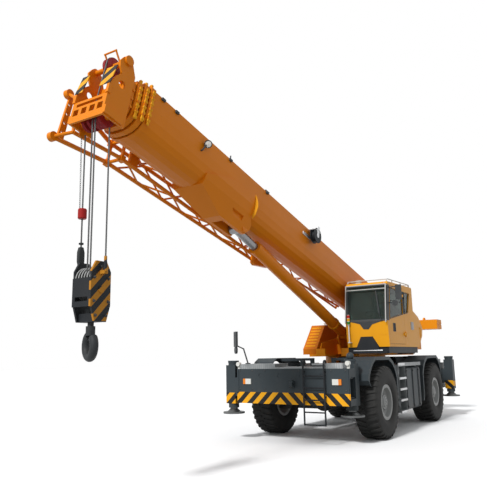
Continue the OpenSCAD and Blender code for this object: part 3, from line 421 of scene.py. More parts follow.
finish["deck_metal"] = tread_plate("deck_metal")
finish["lamp_lens"] = clear("lamp_lens", (0.78, 0.78, 0.74), 0.12, 0.2)
lamp_cluster = enamel("lamp_cluster", (0.66, 0.66, 0.62), (0.4, 0.38, 0.34), 0.15, 0.3, lambda x, y, z, paint: mixed(
    band(Wire.maths("ABSOLUTE", y), 1.055, 1.13) * (z < 1.4), paint, (0.72, 0.2, 0.012)), 0.5)
finish["cab_glazing"] = clear("cab_glazing", (0.155, 0.205, 0.185), 0.02, 0.84, 1.18, 0.0)
amber_lens = clear("amber_lens", (0.85, 0.27, 0.01), 0.15, 0.2)
print("finishes", len(finish))

# %% Put the finishes on the CAD nodes
own = {"mudguards": finish["carrier_paint"], "headlamps": lamp_cluster, "outrigger_boxes": box_slate,
       "cab_shell": cab_enamel, "cab_door": cab_enamel, "right_hood": hood_enamel, "block_frame": block_enamel,
       "hook": hook_steel}
own.update({name: boom_enamel for name in ("boom_base", "boom_section_2", "boom_section_3", "boom_section_4",
                                           "boom_head", "fly_jib", "lift_barrel")})
own.update({"beam_" + corner: jack_slate for corner in ("fl", "fr", "rl", "rr")})
for row in frame["record"]["subparts"]:
    mesh = nodes[row["node"]].data
    mesh.materials.clear()
    mesh.materials.append(own.get(row["node"], finish[row["material_slot"]]))

# %% [markdown]
# ## Hand tools
# The pieces below start as Blender's own primitives and are then shaped by operators, as one would by hand: a cube is
# sized and its edges bevelled, an outline is extruded to a plate, a profile is spun to a wheel, a line is given a
# round section. Every tool leaves its piece at the origin with its place in its mesh.

# %% Modelling helpers
BEND = math.radians(13.8)
PIVOT_X, PIVOT_Z = -1.47, 2.77


def at(x, y, z):
    """A point given from the slewing axis."""
    return Vector((slew_x + x, y, z))


def on_boom(s, y, n):
    """A point given along the boom from its pivot, and up across it."""
    return at(PIVOT_X + s * math.cos(BEND) - n * math.sin(BEND), y,
              PIVOT_Z + s * math.sin(BEND) + n * math.cos(BEND))


def along_boom(length):
    return on_boom(length, 0, 0) - on_boom(0, 0, 0)


def fresh():
    bpy.ops.object.select_all(action="DESELECT")


def apply_place():
    bpy.ops.object.transform_apply(location=True, rotation=True, scale=True)
    return bpy.context.object


def edit(*steps):
    """Runs operators in edit mode on the whole active mesh."""
    bpy.ops.object.mode_set(mode="EDIT")
    bpy.ops.mesh.select_all(action="SELECT")
    for step in steps:
        step()
    bpy.ops.object.mode_set(mode="OBJECT")
    return bpy.context.object


def soften(width, steps=2):
    return lambda: bpy.ops.mesh.bevel(offset=width, segments=steps, affect="EDGES")


def outward():
    bpy.ops.mesh.remove_doubles(threshold=0.00002)
    bpy.ops.mesh.normals_make_consistent(inside=False)


def brick(low, high, soft=0.006, turn=None):
    """A block between two corners with rounded edges, turned about its middle if asked."""
    fresh()
    low, high = Vector(low), Vector(high)
    bpy.ops.mesh.primitive_cube_add(size=1, location=(low + high) / 2)
    made = bpy.context.object
    made.scale = high - low
    bpy.ops.object.transform_apply(location=False, rotation=False, scale=True)
    edit(soften(soft))
    if turn:
        made.rotation_euler = turn
    return apply_place()


def plate(points, out, soft=0.0):
    """A flat outline pushed out to a thickness."""
    fresh()
    bpy.ops.mesh.primitive_circle_add(vertices=len(points), radius=1, fill_type="NGON")
    made = bpy.context.object
    for corner, point in zip(made.data.vertices, points):
        corner.co = point
    push = lambda: bpy.ops.mesh.extrude_region_move(TRANSFORM_OT_translate={"value": tuple(out)})
    every = lambda: bpy.ops.mesh.select_all(action="SELECT")
    edit(push, every, outward, *([soften(soft, 1)] if soft else []))
    return made


def boom_plate(s, y, n, corners, thick, soft=0.0):
    """A plate on the boom's side, its corners given along and across the boom from a point."""
    return plate([on_boom(s + ds, y, n + dn) for ds, dn in corners], (0, thick, 0), soft)


def oblong(half, low, high):
    return ((-half, low), (half, low), (half, high), (-half, high))


def brick_on_boom(low, high):
    """A bevelled block whose edges follow the boom."""
    (s0, y0, n0), (s1, y1, n1) = low, high
    return boom_plate(0, y0, 0, ((s0, n0), (s1, n0), (s1, n1), (s0, n1)), y1 - y0, 0.004)


def turned(profile, centre, direction, steps=32):
    """A closed profile of (radius, height) spun about a line."""
    fresh()
    bpy.ops.mesh.primitive_circle_add(vertices=len(profile), radius=1, fill_type="NOTHING")
    made = bpy.context.object
    for corner, (r, h) in zip(made.data.vertices, profile):
        corner.co = (r, 0, h)
    edit(lambda: bpy.ops.mesh.spin(steps=steps, angle=2 * math.pi, center=(0, 0, 0), axis=(0, 0, 1)),
         lambda: bpy.ops.mesh.select_all(action="SELECT"), outward)
    made.rotation_euler = Vector(direction).to_track_quat("Z", "Y").to_euler()
    made.location = centre
    return apply_place()


def tube(points, radius, sides=8, ring=False):
    """A round bar along a line of points."""
    fresh()
    line = bpy.data.curves.new("line", "CURVE")
    line.dimensions, line.bevel_depth, line.use_fill_caps = "3D", radius, True
    line.bevel_resolution = (sides - 4) // 2
    run = line.splines.new("POLY")
    run.points.add(len(points) - 1)
    for corner, point in zip(run.points, points):
        corner.co = tuple(point) + (1,)
    run.use_cyclic_u = ring
    made = bpy.data.objects.new("line", line)
    bpy.context.collection.objects.link(made)
    made.select_set(True)
    bpy.context.view_layer.objects.active = made
    bpy.ops.object.convert(target="MESH")
    edit(outward)
    return bpy.context.object


def arc(centre, first, second, start, stop, count=8):
    """Points on an arc from start to stop degrees, in the plane of two vectors that carry its radius."""
    turns = [math.radians(start + (stop - start) * k / count) for k in range(count + 1)]
    return [Vector(centre) + Vector(first) * math.cos(t) + Vector(second) * math.sin(t) for t in turns]


def joined(*pieces):
    fresh()
    for piece in pieces:
        piece.select_set(True)
    bpy.context.view_layer.objects.active = pieces[0]
    bpy.ops.object.join()
    return bpy.context.object


def copied(piece, matrix):
    """A copy with its own mesh, moved by a matrix."""
    again = piece.copy()
    again.data = piece.data.copy()
    again.data.transform(matrix)
    if matrix.determinant() < 0:
        again.data.flip_normals()
    bpy.context.collection.objects.link(again)
    return again


def settled(piece, name, look, body):
    """Names a piece, gives it its finish and lets it ride on a body if one is given."""
    fresh()
    piece.select_set(True)
    bpy.context.view_layer.objects.active = piece
    bpy.ops.object.shade_smooth_by_angle(angle=math.radians(32))
    piece.name = name
    piece.data.materials.clear()
    piece.data.materials.append(look)
    if body:
        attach(piece, body)
    return piece


print("tools ready")

# %% [markdown]
# ## Tyres
# The real tyres are wide earthmover tyres: a bulging sidewall, and two staggered rows of thick lugs that run from near
# the middle of the tread over the shoulder. A tyre could be sculpted whole, but a spun profile with one lug copied
# round it is exact and light. The lugs end at the CAD tyre's radius, and the case lies 25 mm below.

# %% One tyre
TYRE_R, LUGS = 0.745, 34
half_side = [(0.3175, 0.194), (0.352, 0.2), (0.372, 0.222), (0.41, 0.243), (0.455, 0.2545), (0.50, 0.2585),
             (0.512, 0.2565), (0.56, 0.2585), (0.572, 0.2555), (0.63, 0.252), (0.675, 0.241), (0.704, 0.222),
             (0.717, 0.19), (0.72, 0.10)]
case_line = half_side + [(r, -h) for r, h in reversed(half_side)]
case = turned(case_line, (0, 0, 0), (0, 0, 1), 72)
lug_line = [(0.70, 0.014), (0.7445, 0.02), (0.7435, 0.195), (0.73, 0.226), (0.694, 0.2455), (0.672, 0.2515),
            (0.668, 0.238), (0.70, 0.20)]
lug = plate([Vector((r, -0.030, h)) for r, h in lug_line], (0, 0.060, 0), 0.004)
for corner in lug.data.vertices:
    slant = (0.24 - corner.co.z) * 0.26
    around = (corner.co.y * (0.72 + corner.co.z * 1.1) + slant) / TYRE_R
    corner.co = (corner.co.x * math.cos(around), corner.co.x * math.sin(around), corner.co.z)
lugs = []
for k in range(LUGS):
    spin = Matrix.Rotation(2 * math.pi * k / LUGS, 4, "Z")
    lugs.append(copied(lug, spin))
    lugs.append(copied(lug, spin @ Matrix.Rotation(math.pi / LUGS, 4, "Z") @ Matrix.Scale(-1, 4, (0, 0, 1))))
bpy.data.objects.remove(lug)
first_tyre = joined(case, *lugs)
reach = max(Vector((v.co.x, v.co.y, 0)).length for v in first_tyre.data.vertices)
print("tyre faces", len(first_tyre.data.polygons), "radius", round(reach, 4))

# %% Four tyres with hubs and nuts
def nut_ring(profile, radius, count, shift=0.0):
    turns = [2 * math.pi * (k + shift) / count for k in range(count)]
    return [turned(profile, (radius * math.cos(t), radius * math.sin(t), 0), (0, 0, 1), 6) for t in turns]


hub_line = [(0.02, 0.16), (0.02, 0.205), (0.085, 0.2), (0.105, 0.192), (0.112, 0.176), (0.112, 0.16)]
nut_line = [(0.004, 0.08), (0.004, 0.126), (0.009, 0.126), (0.0165, 0.116), (0.0165, 0.104), (0.026, 0.102),
            (0.026, 0.08)]
small_nut = [(r * 0.7, h + 0.09) for r, h in nut_line]
hub = turned(hub_line, (0, 0, 0), (0, 0, 1), 40)
first_hub = joined(hub, *nut_ring(nut_line, 0.205, 20), *nut_ring(small_nut, 0.07, 8, 0.5))
wheels = {}
for corner in ("fl", "fr", "rl", "rr"):
    low, high = (Vector(v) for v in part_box("tyre_" + corner))
    side = 1 if corner[1] == "l" else -1
    turn = Matrix.Translation((low + high) / 2) @ Matrix.Rotation(-side * math.pi / 2, 4, "X")
    wheels[corner] = copied(first_tyre, turn)
    settled(wheels[corner], "tyre_tread_" + corner, finish["tyre_rubber"], "wheel_" + corner)
    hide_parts("tyre_" + corner)
    settled(copied(first_hub, turn), "wheel_nuts_" + corner, finish["rim_paint"], "wheel_" + corner)
bpy.data.objects.remove(first_tyre)
bpy.data.objects.remove(first_hub)
print("wheels dressed", sorted(wheels))

# %% [markdown]
# ## Hoist rope
# The rope is laid up from strands, and on a long straight run the lay shows as a fine slant. A six-lobed ring swept
# along the rope while it turns gives just that, which is what the Screw modifier does. The falls between the head and
# the hook block are left on no body.

# %% Laid rope
def laid(start, stop, radius, lay=0.16, steps=9):
    """A straight length of rope whose strands turn about it."""
    fresh()
    start, stop = Vector(start), Vector(stop)
    length = (stop - start).length
    bpy.ops.mesh.primitive_circle_add(vertices=12, radius=radius)
    made = bpy.context.object
    for k, corner in enumerate(made.data.vertices):
        if k % 2:
            corner.co *= 0.8
    bpy.ops.object.modifier_add(type="SCREW")
    twist = made.modifiers[-1]
    turns = max(round(length / lay), 1)
    twist.angle, twist.screw_offset, twist.axis = 2 * math.pi * turns, length, "Z"
    twist.steps = twist.render_steps = turns * steps
    bpy.ops.object.modifier_apply(modifier=twist.name)
    edit(outward)
    made.rotation_euler = (stop - start).to_track_quat("Z", "Y").to_euler()
    made.location = start
    return apply_place()


HANG, STAND_Y = 8.8056, 0.235
FALL_R, RUN_R, RUN_Y = 0.0115, 0.0105, 0.03
lines = [laid(at(HANG + 0.1355, y, 2.6), at(HANG + 0.1355, y, 4.954), FALL_R) for y in (0.052, 0.104)]
lines += [laid(at(HANG, y, 3.02), at(HANG, y, 4.79), FALL_R) for y in (-STAND_Y, STAND_Y)]
falls = settled(joined(*lines), "hoist_rope_falls", finish["wire_rope"], None)
tuple(at(HANG, 0, 4.77))
tuple(at(HANG, 0, 3.03))
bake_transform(falls)
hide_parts("hoist_falls")
print("falls", len(falls.data.polygons), "faces")

# %% Rope along the boom and over the head
WINCH_X, WINCH_Z = -2.53, 2.35
TOP_S, TOP_N, TOP_R = 10.48, 0.59, 0.1295
deck_run = [(-0.2, 0.585), (9.94, 0.615), (10.06, 0.64), (10.17, 0.66), (10.28, 0.683), (10.452, 0.717)]
lead = laid(at(WINCH_X, RUN_Y, 2.565), on_boom(-0.2, RUN_Y, 0.585), RUN_R)
settled(lead, "hoist_rope_lead", finish["wire_rope"], None)
tuple(at(-2.4, 0.03, 2.6))
tuple(on_boom(-0.3, 0.03, 0.57))
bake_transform(lead)
for k in range(5):
    (s0, n0), (s1, n1) = deck_run[k], deck_run[k + 1]
    run = laid(on_boom(s0, RUN_Y, n0), on_boom(s1, RUN_Y, n1), RUN_R, 0.2, 8)
    name = "hoist_rope_run_%d" % (k + 1)
    settled(run, name, finish["wire_rope"], {0: "boom", 4: "section_4"}.get(k))
    if 0 < k < 4:
        tuple(on_boom(s0, 0.03, n0))
        tuple(on_boom(s1, 0.03, n1))
        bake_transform(run)
angles = [math.radians(a) for a in range(104, -1, -8)]
over = [on_boom(TOP_S + TOP_R * math.cos(t), RUN_Y, TOP_N + TOP_R * math.sin(t)) for t in angles]
over += [on_boom(10.61 + 0.034 * k / 8, RUN_Y + 0.03 * k / 8, 0.58 - 0.9 * k / 8) for k in range(1, 9)]
settled(tube(over, RUN_R, 8), "hoist_rope_head", finish["wire_rope"], "section_4")
print("rope led over the head")

# %% [markdown]
# ## Winch rope and rope guides
# On the drum the rope lies in neat turns side by side, so a profile of small scallops spun about the drum shows it.
# The rope is carried clear of the boom by rollers in little brackets, as on the real machine.

# %% Winch turns and rollers
COIL_HALF, COIL_STEP, DRUM_R = 0.286, 0.022, 0.2
coil = [(DRUM_R - 0.012, -COIL_HALF)]
for k in range(26):
    y = -COIL_HALF + COIL_STEP * k
    coil += [(DRUM_R, y), (0.2115, y + 0.0055), (0.2155, y + 0.011), (0.2115, y + 0.0165)]
coil += [(DRUM_R, COIL_HALF), (DRUM_R - 0.012, COIL_HALF)]
turns = turned(coil, at(WINCH_X, 0, WINCH_Z), (0, 1, 0), 40)
settled(turns, "winch_rope_turns", finish["wire_rope"], "turntable")
roller_line = [(0.008, -0.09), (0.03, -0.09), (0.022, -0.06), (0.022, 0.06), (0.03, 0.09), (0.008, 0.09)]
rollers = []
for s, n in ((-0.2, 0.545), (3.4, 0.555), (6.7, 0.565), (9.3, 0.572)):
    rollers.append(turned(roller_line, on_boom(s, 0, n), (0, 1, 0), 16))
    ear = ((-0.07, 0.488), (0.07, 0.488), (0.03, n + 0.04), (-0.03, n + 0.04))
    rollers += [boom_plate(s, y - 0.006, 0, ear, 0.012) for y in (-0.105, 0.105)]
settled(joined(*rollers), "rope_rollers", finish["crane_paint"], "boom")
print("winch turns and rollers made")

# %% [markdown]
# ## Boom head dressing
# The cheeks of the head have broad front flanges with warning stripes. Below hangs the hoist limit weight: a red
# sleeve round one standing rope, held by a chain from the switch. The chain is a run of small links, each turned a
# quarter from the last.

# %% Striped flanges
flanges = []
for y0, y1 in ((-0.345, -0.2), (0.14, 0.345)):
    flanges.append(plate([on_boom(10.708, y0, 0.052), on_boom(10.65, y0, 0.39), on_boom(10.65, y1, 0.39),
                          on_boom(10.708, y1, 0.052)], along_boom(0.012), 0.002))
settled(joined(*flanges), "head_flanges", head_stripes, "section_4")
print("flanges", len(flanges))

# %% Limit weight and chain
LINKS = 34
hung = [on_boom(10.47, -0.2925, -0.515), at(8.81, -0.285, 3.735)]
links = []
for k in range(LINKS):
    middle = hung[0].lerp(hung[1], (k + 0.5) / LINKS)
    across = Vector((0.010, 0, 0)) if k % 2 else Vector((0, 0.010, 0))
    links.append(tube(arc(middle, across, (0, 0, 0.019), 0, 315, 7), 0.0035, 4, True))
chain = settled(joined(*links), "limit_chain", finish["wire_rope"], None)
sleeve = turned([(0.016, 0), (0.052, 0), (0.06, 0.012), (0.06, 0.128), (0.052, 0.14), (0.016, 0.14)],
                at(HANG, -STAND_Y, 3.59), (0, 0, 1), 28)
eye_ring = tube(arc(at(8.808, -0.28, 3.73), (0, 0.018, 0), (0, 0, 0.018), 0, 315, 7), 0.005, 6, True)
weight_red = enamel("weight_red", (0.33, 0.018, 0.016), (0.12, 0.02, 0.016), 0.42, 1.2)
weight = settled(joined(sleeve, eye_ring), "limit_weight", weight_red, None)
for piece in (chain, weight):
    tuple(at(HANG, 0, 4.77))
    tuple(at(HANG, 0, 3.03))
    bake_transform(piece)
print("limit weight hung")

# %% [markdown]
# ## Cab trim
# The screen sits in a broad black border that drops into a shallow point in the middle of the belt line. A wiper
# stands beside it, and on the right front corner is a column of three signal lamps. The border is a set of flat
# strips that follow the lean of the glass; each is an outline pushed out by a few millimetres.

# %% Screen border and wiper
BELT_LEAN = 0.065 / 0.56


def screen(y, z, off=0.0):
    return at(1.565 - (z - BELT_Z) * SCREEN_LEAN + off, y, z)


def belt(y, z, off=0.0):
    return at(1.5 + (z - 1.89) * BELT_LEAN + off, y, z)


def strip_on_screen(y0, y1, z0, z1):
    return plate([screen(y, z, 0.001) for y, z in ((y0, z0), (y1, z0), (y1, z1), (y0, z1))], (0.006, 0, 0))


border = [strip_on_screen(0.447, 1.428, 2.452, 2.497), strip_on_screen(0.447, 1.428, 3.235, 3.285),
          strip_on_screen(0.447, 0.505, 2.497, 3.235), strip_on_screen(1.37, 1.428, 2.497, 3.235)]
point = [(0.60, 2.449), (0.785, 2.40), (0.862, 2.285), (0.98, 2.28), (1.072, 2.385), (1.30, 2.449)]
border.append(plate([belt(y, z, 0.001) for y, z in point], (0.006, 0, 0)))
settled(joined(*border), "screen_border", finish["black_plastic"], "turntable")
arm = tube([screen(1.30, 2.475, 0.02), screen(1.28, 2.52, 0.035), screen(1.20, 3.0, 0.02)], 0.007, 6)
blade_line = [(1.235, 2.62), (1.255, 2.62), (1.175, 3.16), (1.155, 3.16)]
blade = plate([screen(y, z, 0.008) for y, z in blade_line], (0.012, 0, 0))
hinge = turned([(0.004, -0.01), (0.022, -0.01), (0.022, 0.02), (0.014, 0.028), (0.004, 0.028)],
               screen(1.30, 2.475, 0.01), (1, 0, 0), 16)
settled(joined(arm, blade, hinge), "screen_wiper", finish["black_plastic"], "turntable")
print("screen strips", len(border))

# %% Signal column
def lamp_colours(x, y, z, paint):
    paint = mixed(band(z, 2.40, 2.465), paint, (0.03, 0.2, 0.03))
    paint = mixed(band(z, 2.475, 2.535), paint, (0.75, 0.36, 0.01))
    return mixed(band(z, 2.545, 2.61), paint, (0.45, 0.02, 0.012))


lamp_stack = enamel("lamp_stack", (0.7, 0.7, 0.67), (0.4, 0.36, 0.3), 0.25, 0.4, lamp_colours)
stack = [(0.004, 2.0), (0.014, 2.0), (0.014, 2.385), (0.03, 2.39)]
for z in (2.40, 2.475, 2.545):
    stack += [(0.032, z), (0.034, z + 0.01), (0.034, z + 0.055), (0.032, z + 0.064)]
stack += [(0.03, 2.615), (0.004, 2.62)]
column = turned(stack, at(1.60, 0.53, 0), (0, 0, 1), 20)
foot = brick(at(1.51, 0.5, 1.985), at(1.62, 0.56, 2.01), 0.004)
settled(joined(column, foot), "signal_column", lamp_stack, "turntable")
print("signal column stands")

# %% Roof rails, sensor and marker
RAIL_YS, RAIL_Z = (0.47, 1.40), 3.405
rails = []
for y in RAIL_YS:
    rails.append(tube([at(-0.25, y, 3.36), at(-0.22, y, RAIL_Z), at(1.30, y, RAIL_Z), at(1.36, y, 3.39),
                       at(1.385, y, 3.345)], 0.012, 8))
for x in (-0.2, 1.28):
    rails.append(tube([at(x, y, RAIL_Z) for y in RAIL_YS], 0.011, 8))
post_line = [(0.004, -0.07), (0.024, -0.07), (0.024, -0.062), (0.009, -0.056), (0.009, 0), (0.004, 0)]
for x in (-0.2, 0.4, 1.0):
    rails += [turned(post_line, at(x, y, 3.408), (0, 0, 1), 12) for y in RAIL_YS]
settled(joined(*rails), "roof_rails", finish["rail_paint"], "turntable")
cube = brick(at(1.18, 0.62, 3.34), at(1.27, 0.74, 3.43), 0.012)
settled(cube, "roof_sensor", finish["rail_paint"], "turntable")
marker = brick(at(1.352, 1.30, 3.275), at(1.45, 1.39, 3.318), 0.012)
settled(marker, "roof_marker", amber_lens, "turntable")
print("cab roof dressed")

# %% Door furniture and cab strips
CAB_SIDE = 1.4305


def side_seal(outline):
    return tube([at(x, CAB_SIDE, z) for x, z in outline], 0.009, 6, True)


latch = brick(at(-0.33, 1.428, 2.30), at(-0.11, 1.437, 2.49), 0.004)
settled(latch, "side_plate", finish["winch_steel"], "turntable")
pull = [at(1.10, 1.434, 2.235), at(1.10, 1.446, 2.25), at(1.10, 1.446, 2.39), at(1.10, 1.434, 2.405)]
scoop_line = [(1.03, 2.225), (1.21, 2.225), (1.21, 2.416), (1.03, 2.416)]
scoop = plate([at(x, CAB_SIDE, z) for x, z in scoop_line], (0, 0.004, 0))
settled(joined(tube(pull, 0.010, 8), scoop), "door_pull", finish["black_plastic"], "cab_door")
strip = brick(at(1.511, 0.585, 1.802), at(1.524, 1.268, 1.822), 0.004)
settled(strip, "cab_step_strip", bright_steel, "turntable")
seal = side_seal([(0.428, 2.648), (0.80, 2.592), (1.392, 2.502), (1.275, 3.213), (0.428, 3.183)])
settled(seal, "door_window_seal", finish["black_plastic"], "cab_door")
seal = side_seal([(0.062, 2.70), (0.318, 2.658), (0.318, 3.183), (-0.108, 3.172)])
settled(seal, "side_window_seal", finish["black_plastic"], "turntable")
bar = tube([at(0.43, 1.418, 2.92), at(1.31, 1.418, 2.92)], 0.011, 6)
settled(bar, "door_window_bar", finish["black_plastic"], "cab_door")
print("door furniture fitted")

# %% [markdown]
# ## Seat
# Behind the tinted glass stands a sprung operator's seat. Its base is a CAD block; the cushions are padded cloth,
# fuller in the middle and drawn in at the welts. A bevelled block that is subdivided and puffed along its axes gives
# that shape without a simulation, because so little of it shows.

# %% Seat cushions
def cushion(low, high, puff, name):
    made = brick(low, high, 0.03)
    bpy.ops.object.modifier_add(type="SUBSURF")
    made.modifiers[-1].levels = made.modifiers[-1].render_levels = 3
    bpy.ops.object.modifier_apply(modifier=made.modifiers[-1].name)
    middle, half = (Vector(low) + Vector(high)) / 2, (Vector(high) - Vector(low)) / 2
    for corner in made.data.vertices:
        t = [(corner.co[k] - middle[k]) / half[k] for k in range(3)]
        for k in range(3):
            others = [max(0.0, 1 - t[m] * t[m]) for m in range(3) if m != k]
            corner.co[k] += t[k] * puff * others[0] * others[1]
    settled(made, name, finish["cab_trim"], "turntable")


cushion(at(0.185, 0.712, 2.25), at(0.662, 1.158, 2.378), 0.012, "seat_cushion")
cushion(at(0.055, 0.712, 2.40), at(0.198, 1.158, 2.93), 0.012, "seat_back")
print("seat padded")

# %% [markdown]
# ## Carrier trim
# The ladder's rails hook over the deck edge, the steps have bright worn noses, bands hold the tanks, and each box end
# and the slewing ring have bolts. These are all small bent or bevelled shapes, so they are made here rather than in
# the CAD model.

# %% Ladder hooks and step noses
hooks = []
for y in (0.325, 0.776):
    bend = arc(at(3.49, y, 1.575), (0.055, 0, 0), (0, 0, 0.05), 0, 180, 8)
    hooks.append(tube([at(3.545, y, 1.53)] + bend + [at(3.435, y, 1.56)], 0.016, 8))
settled(joined(*hooks), "ladder_hooks", finish["black_paint"], "carrier")
noses = []
for y, low, high in ((1.4195, 0.433, 0.477), (1.4195, 0.683, 0.727), (1.4195, 0.923, 0.967), (1.4195, 1.163, 1.207),
                     (1.3995, 1.47, 1.525)):
    noses.append(brick(at(0.482, y, low), at(0.943, y + 0.005, high), 0.002))
settled(joined(*noses), "step_noses", bright_steel, "carrier")
print("step noses", len(noses))

# %% Tank bands and caps
low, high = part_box("side_tanks")
stud_line = [(0.003, 0), (0.014, 0), (0.014, 0.012), (0.003, 0.014)]
bands = []
for side, xs in ((1, (-0.60, -0.15, 0.33)), (-1, (-0.60, 0.0, 0.60))):
    y = high[1] if side > 0 else low[1]
    near, far = (-0.002, 0.006) if side > 0 else (-0.006, 0.002)
    for x in xs:
        bands.append(brick((slew_x + x - 0.025, y + near, low[2] + 0.02),
                           (slew_x + x + 0.025, y + far, high[2] - 0.02), 0.002))
        for z in (low[2] + 0.08, high[2] - 0.08):
            bands.append(turned(stud_line, (slew_x + x, y + side * 0.005, z), (0, side, 0), 6))
settled(joined(*bands), "tank_bands", finish["black_paint"], "carrier")
cap_line = [(0.004, 0), (0.052, 0), (0.056, 0.01), (0.05, 0.05), (0.03, 0.056), (0.004, 0.056)]
caps = [turned(cap_line, at(x, y, 1.478), (0, 0, 1), 20) for x, y in ((-0.55, 1.05), (0.1, -1.05))]
settled(joined(*caps), "tank_caps", finish["black_plastic"], "carrier")
print("tank bands and caps made")

# %% Bolts on the outrigger boxes and the slewing ring
RING_R, RING_BOLTS = 0.715, 36
bolt_line = [(0.002, 0), (0.015, 0), (0.015, 0.002), (0.011, 0.003), (0.011, 0.012), (0.002, 0.014)]
seed = turned(bolt_line, (0, 0, 0), (0, 0, 1), 6)
bolts = []
for end, face in ((1, 3.485), (-1, -3.485)):
    turn = Matrix.Rotation(end * math.pi / 2, 4, "Y")
    for y in (-1.20, -0.90, -0.60, 0.20, 0.90, 1.20):
        for z in (1.06, 1.43):
            bolts.append(copied(seed, Matrix.Translation(at(face, y, z)) @ turn))
for k in range(RING_BOLTS):
    angle = 2 * math.pi * k / RING_BOLTS
    spot = at(RING_R * math.cos(angle), RING_R * math.sin(angle), 1.541)
    bolts.append(copied(seed, Matrix.Translation(spot) @ Matrix.Rotation(math.pi, 4, "X")))
bpy.data.objects.remove(seed)
settled(joined(*bolts), "carrier_bolts", finish["cast_metal"], "carrier")
print("bolts", len(bolts))

# %% [markdown]
# ## Turntable and boom trim
# Bright anti-slip treads climb the right hood's slope, a lamp stands on it, a silencer lies behind the cab and hoses
# loop to the lift cylinder. Yellow pads are bolted round the ends of the boom's sections, a yellow lip stiffens each
# side of the lift saddle, and a lamp, small lugs and the cable reel's bracket sit along the boom's left side.

# %% Hood treads and lamp
tread_foot = at(1.30, 0, 1.88)
slope = Vector((0.78 - 1.30, 0, 2.46 - 1.88))
across = slope.normalized() * 0.028
out = Vector((slope.z, 0, -slope.x)).normalized() * 0.008
left, right_end = Vector((0, -0.50, 0)), Vector((0, -0.76, 0))
treads = []
for k in range(7):
    foot = tread_foot + slope * (0.1 + 0.125 * k)
    treads.append(plate([foot + right_end, foot + left, foot + across + left, foot + across + right_end], out, 0.002))
tread_yellow = enamel("tread_yellow", (0.82, 0.37, 0.014), (0.5, 0.25, 0.03), 0.6, 0.6)
settled(joined(*treads), "hood_treads", tread_yellow, "turntable")
lamp = turned([(0.004, 0), (0.047, 0), (0.047, 0.06), (0.056, 0.066), (0.056, 0.082), (0.004, 0.086)],
              at(0.33, -0.62, 2.45), (0, 0, 1), 24)
settled(lamp, "hood_lamp", finish["rail_paint"], "turntable")
print("hood treads", len(treads))

# %% Silencer and hoses
silencer_end = at(-1.45, 0.62, 1.85)
can = turned([(0.004, 0), (0.10, 0), (0.125, 0.02), (0.125, 0.44), (0.10, 0.46), (0.004, 0.46)],
             silencer_end, (0, 1, 0), 28)
bands = [turned([(0.12, h), (0.131, h), (0.131, h + 0.03), (0.12, h + 0.03)], silencer_end, (0, 1, 0), 28)
         for h in (0.08, 0.33)]
pipe = tube([at(-1.45, 1.0, 1.95), at(-1.45, 1.0, 2.03), at(-1.50, 1.0, 2.09), at(-1.60, 1.0, 2.12)], 0.03, 10)
settled(joined(can, *bands, pipe), "silencer", finish["black_paint"], "turntable")
hoses = []
for k, y in enumerate((0.20, 0.235, 0.27)):
    loop = arc(at(0.36, y, 2.18 + 0.02 * k), (-0.12, 0, 0), (0, 0, 0.16), 0, 150, 8)
    hoses.append(tube([at(0.20, y, 1.93), at(0.24, y, 2.15)] + loop + [at(0.50, y, 2.15), at(0.53, y, 1.80)],
                      0.014, 8))
settled(joined(*hoses), "lift_hoses", finish["black_plastic"], "turntable")
lift_pin, lift_foot = on_boom(6.98, 0, -0.42), at(0.62, 0, 2.23)
clamp = turned([(0.123, -0.03), (0.142, -0.03), (0.142, 0.03), (0.123, 0.03)], lift_pin.lerp(lift_foot, 0.87),
               (lift_foot - lift_pin).normalized(), 32)
settled(clamp, "barrel_clamp", tread_yellow, "lift_barrel")
print("silencer and hoses made")

# %% Section end pads
top_post = ((-0.025, -0.04), (0.025, -0.04), (0.02, 0.05), (-0.02, 0.05))
for body, s, half, side_top, top in (("boom", 9.945, 0.383, 0.47, 0.515), ("section_2", 10.055, 0.368, 0.44, 0.475),
                                     ("section_3", 10.165, 0.338, 0.405, 0.44)):
    pads = [boom_plate(s, half - 0.01, 0, oblong(0.022, -0.16, side_top - 0.04), 0.024, 0.004)]
    for k in range(6):
        n = side_top - 0.08 - 0.095 * k
        pads.append(boom_plate(s, half - 0.012, n, oblong(0.03, -0.022, 0.022), 0.036, 0.005))
    pads += [boom_plate(s, y, top, top_post, 0.05, 0.006) for y in (0.04, 0.16, 0.28)]
    settled(joined(*pads), "end_pads_" + body, tread_yellow, body)
print("pads bolted to the section ends")

# %% Saddle lips
lip = [(0.372, 0.216), (0.40, 0.17), (0.45, 0.02), (0.455, -0.06), (0.42, -0.2), (0.36, -0.28), (0.34, -0.2),
       (0.372, 0.0)]
lips = [plate([on_boom(6.985, side * y, n) for y, n in lip], along_boom(0.014), 0.003) for side in (1, -1)]
settled(joined(*lips), "saddle_lips", tread_yellow, "boom")
print("saddle lips", len(lips))

# %% Boom lugs, side lamp and reel bracket
lugs = [brick_on_boom((6.50, 0.33, 0.488), (6.64, 0.352, 0.51)),
        brick_on_boom((7.85, 0.33, 0.488), (7.87, 0.35, 0.55))]
for s, n in ((9.73, 0.43), (9.40, 0.425), (7.9, 0.43), (6.64, 0.43)):
    lugs.append(boom_plate(s, 0.374, n, oblong(0.04, -0.025, 0.02), 0.03, 0.004))
settled(joined(*lugs), "boom_edge_lugs", finish["black_plastic"], "boom")
lamp_at, lamp_aim = on_boom(8.63, 0.445, 0.30), (0.75, 0.62, -0.35)
arm = tube([on_boom(8.70, 0.372, 0.155), on_boom(8.70, 0.41, 0.16), on_boom(8.66, 0.43, 0.27)], 0.014, 8)
shell = turned([(0.004, -0.06), (0.05, -0.05), (0.066, 0.0), (0.066, 0.03), (0.06, 0.03), (0.056, 0.012),
                (0.004, 0.012)], lamp_at, lamp_aim, 24)
settled(joined(arm, shell), "side_lamp_shell", finish["black_plastic"], "boom")
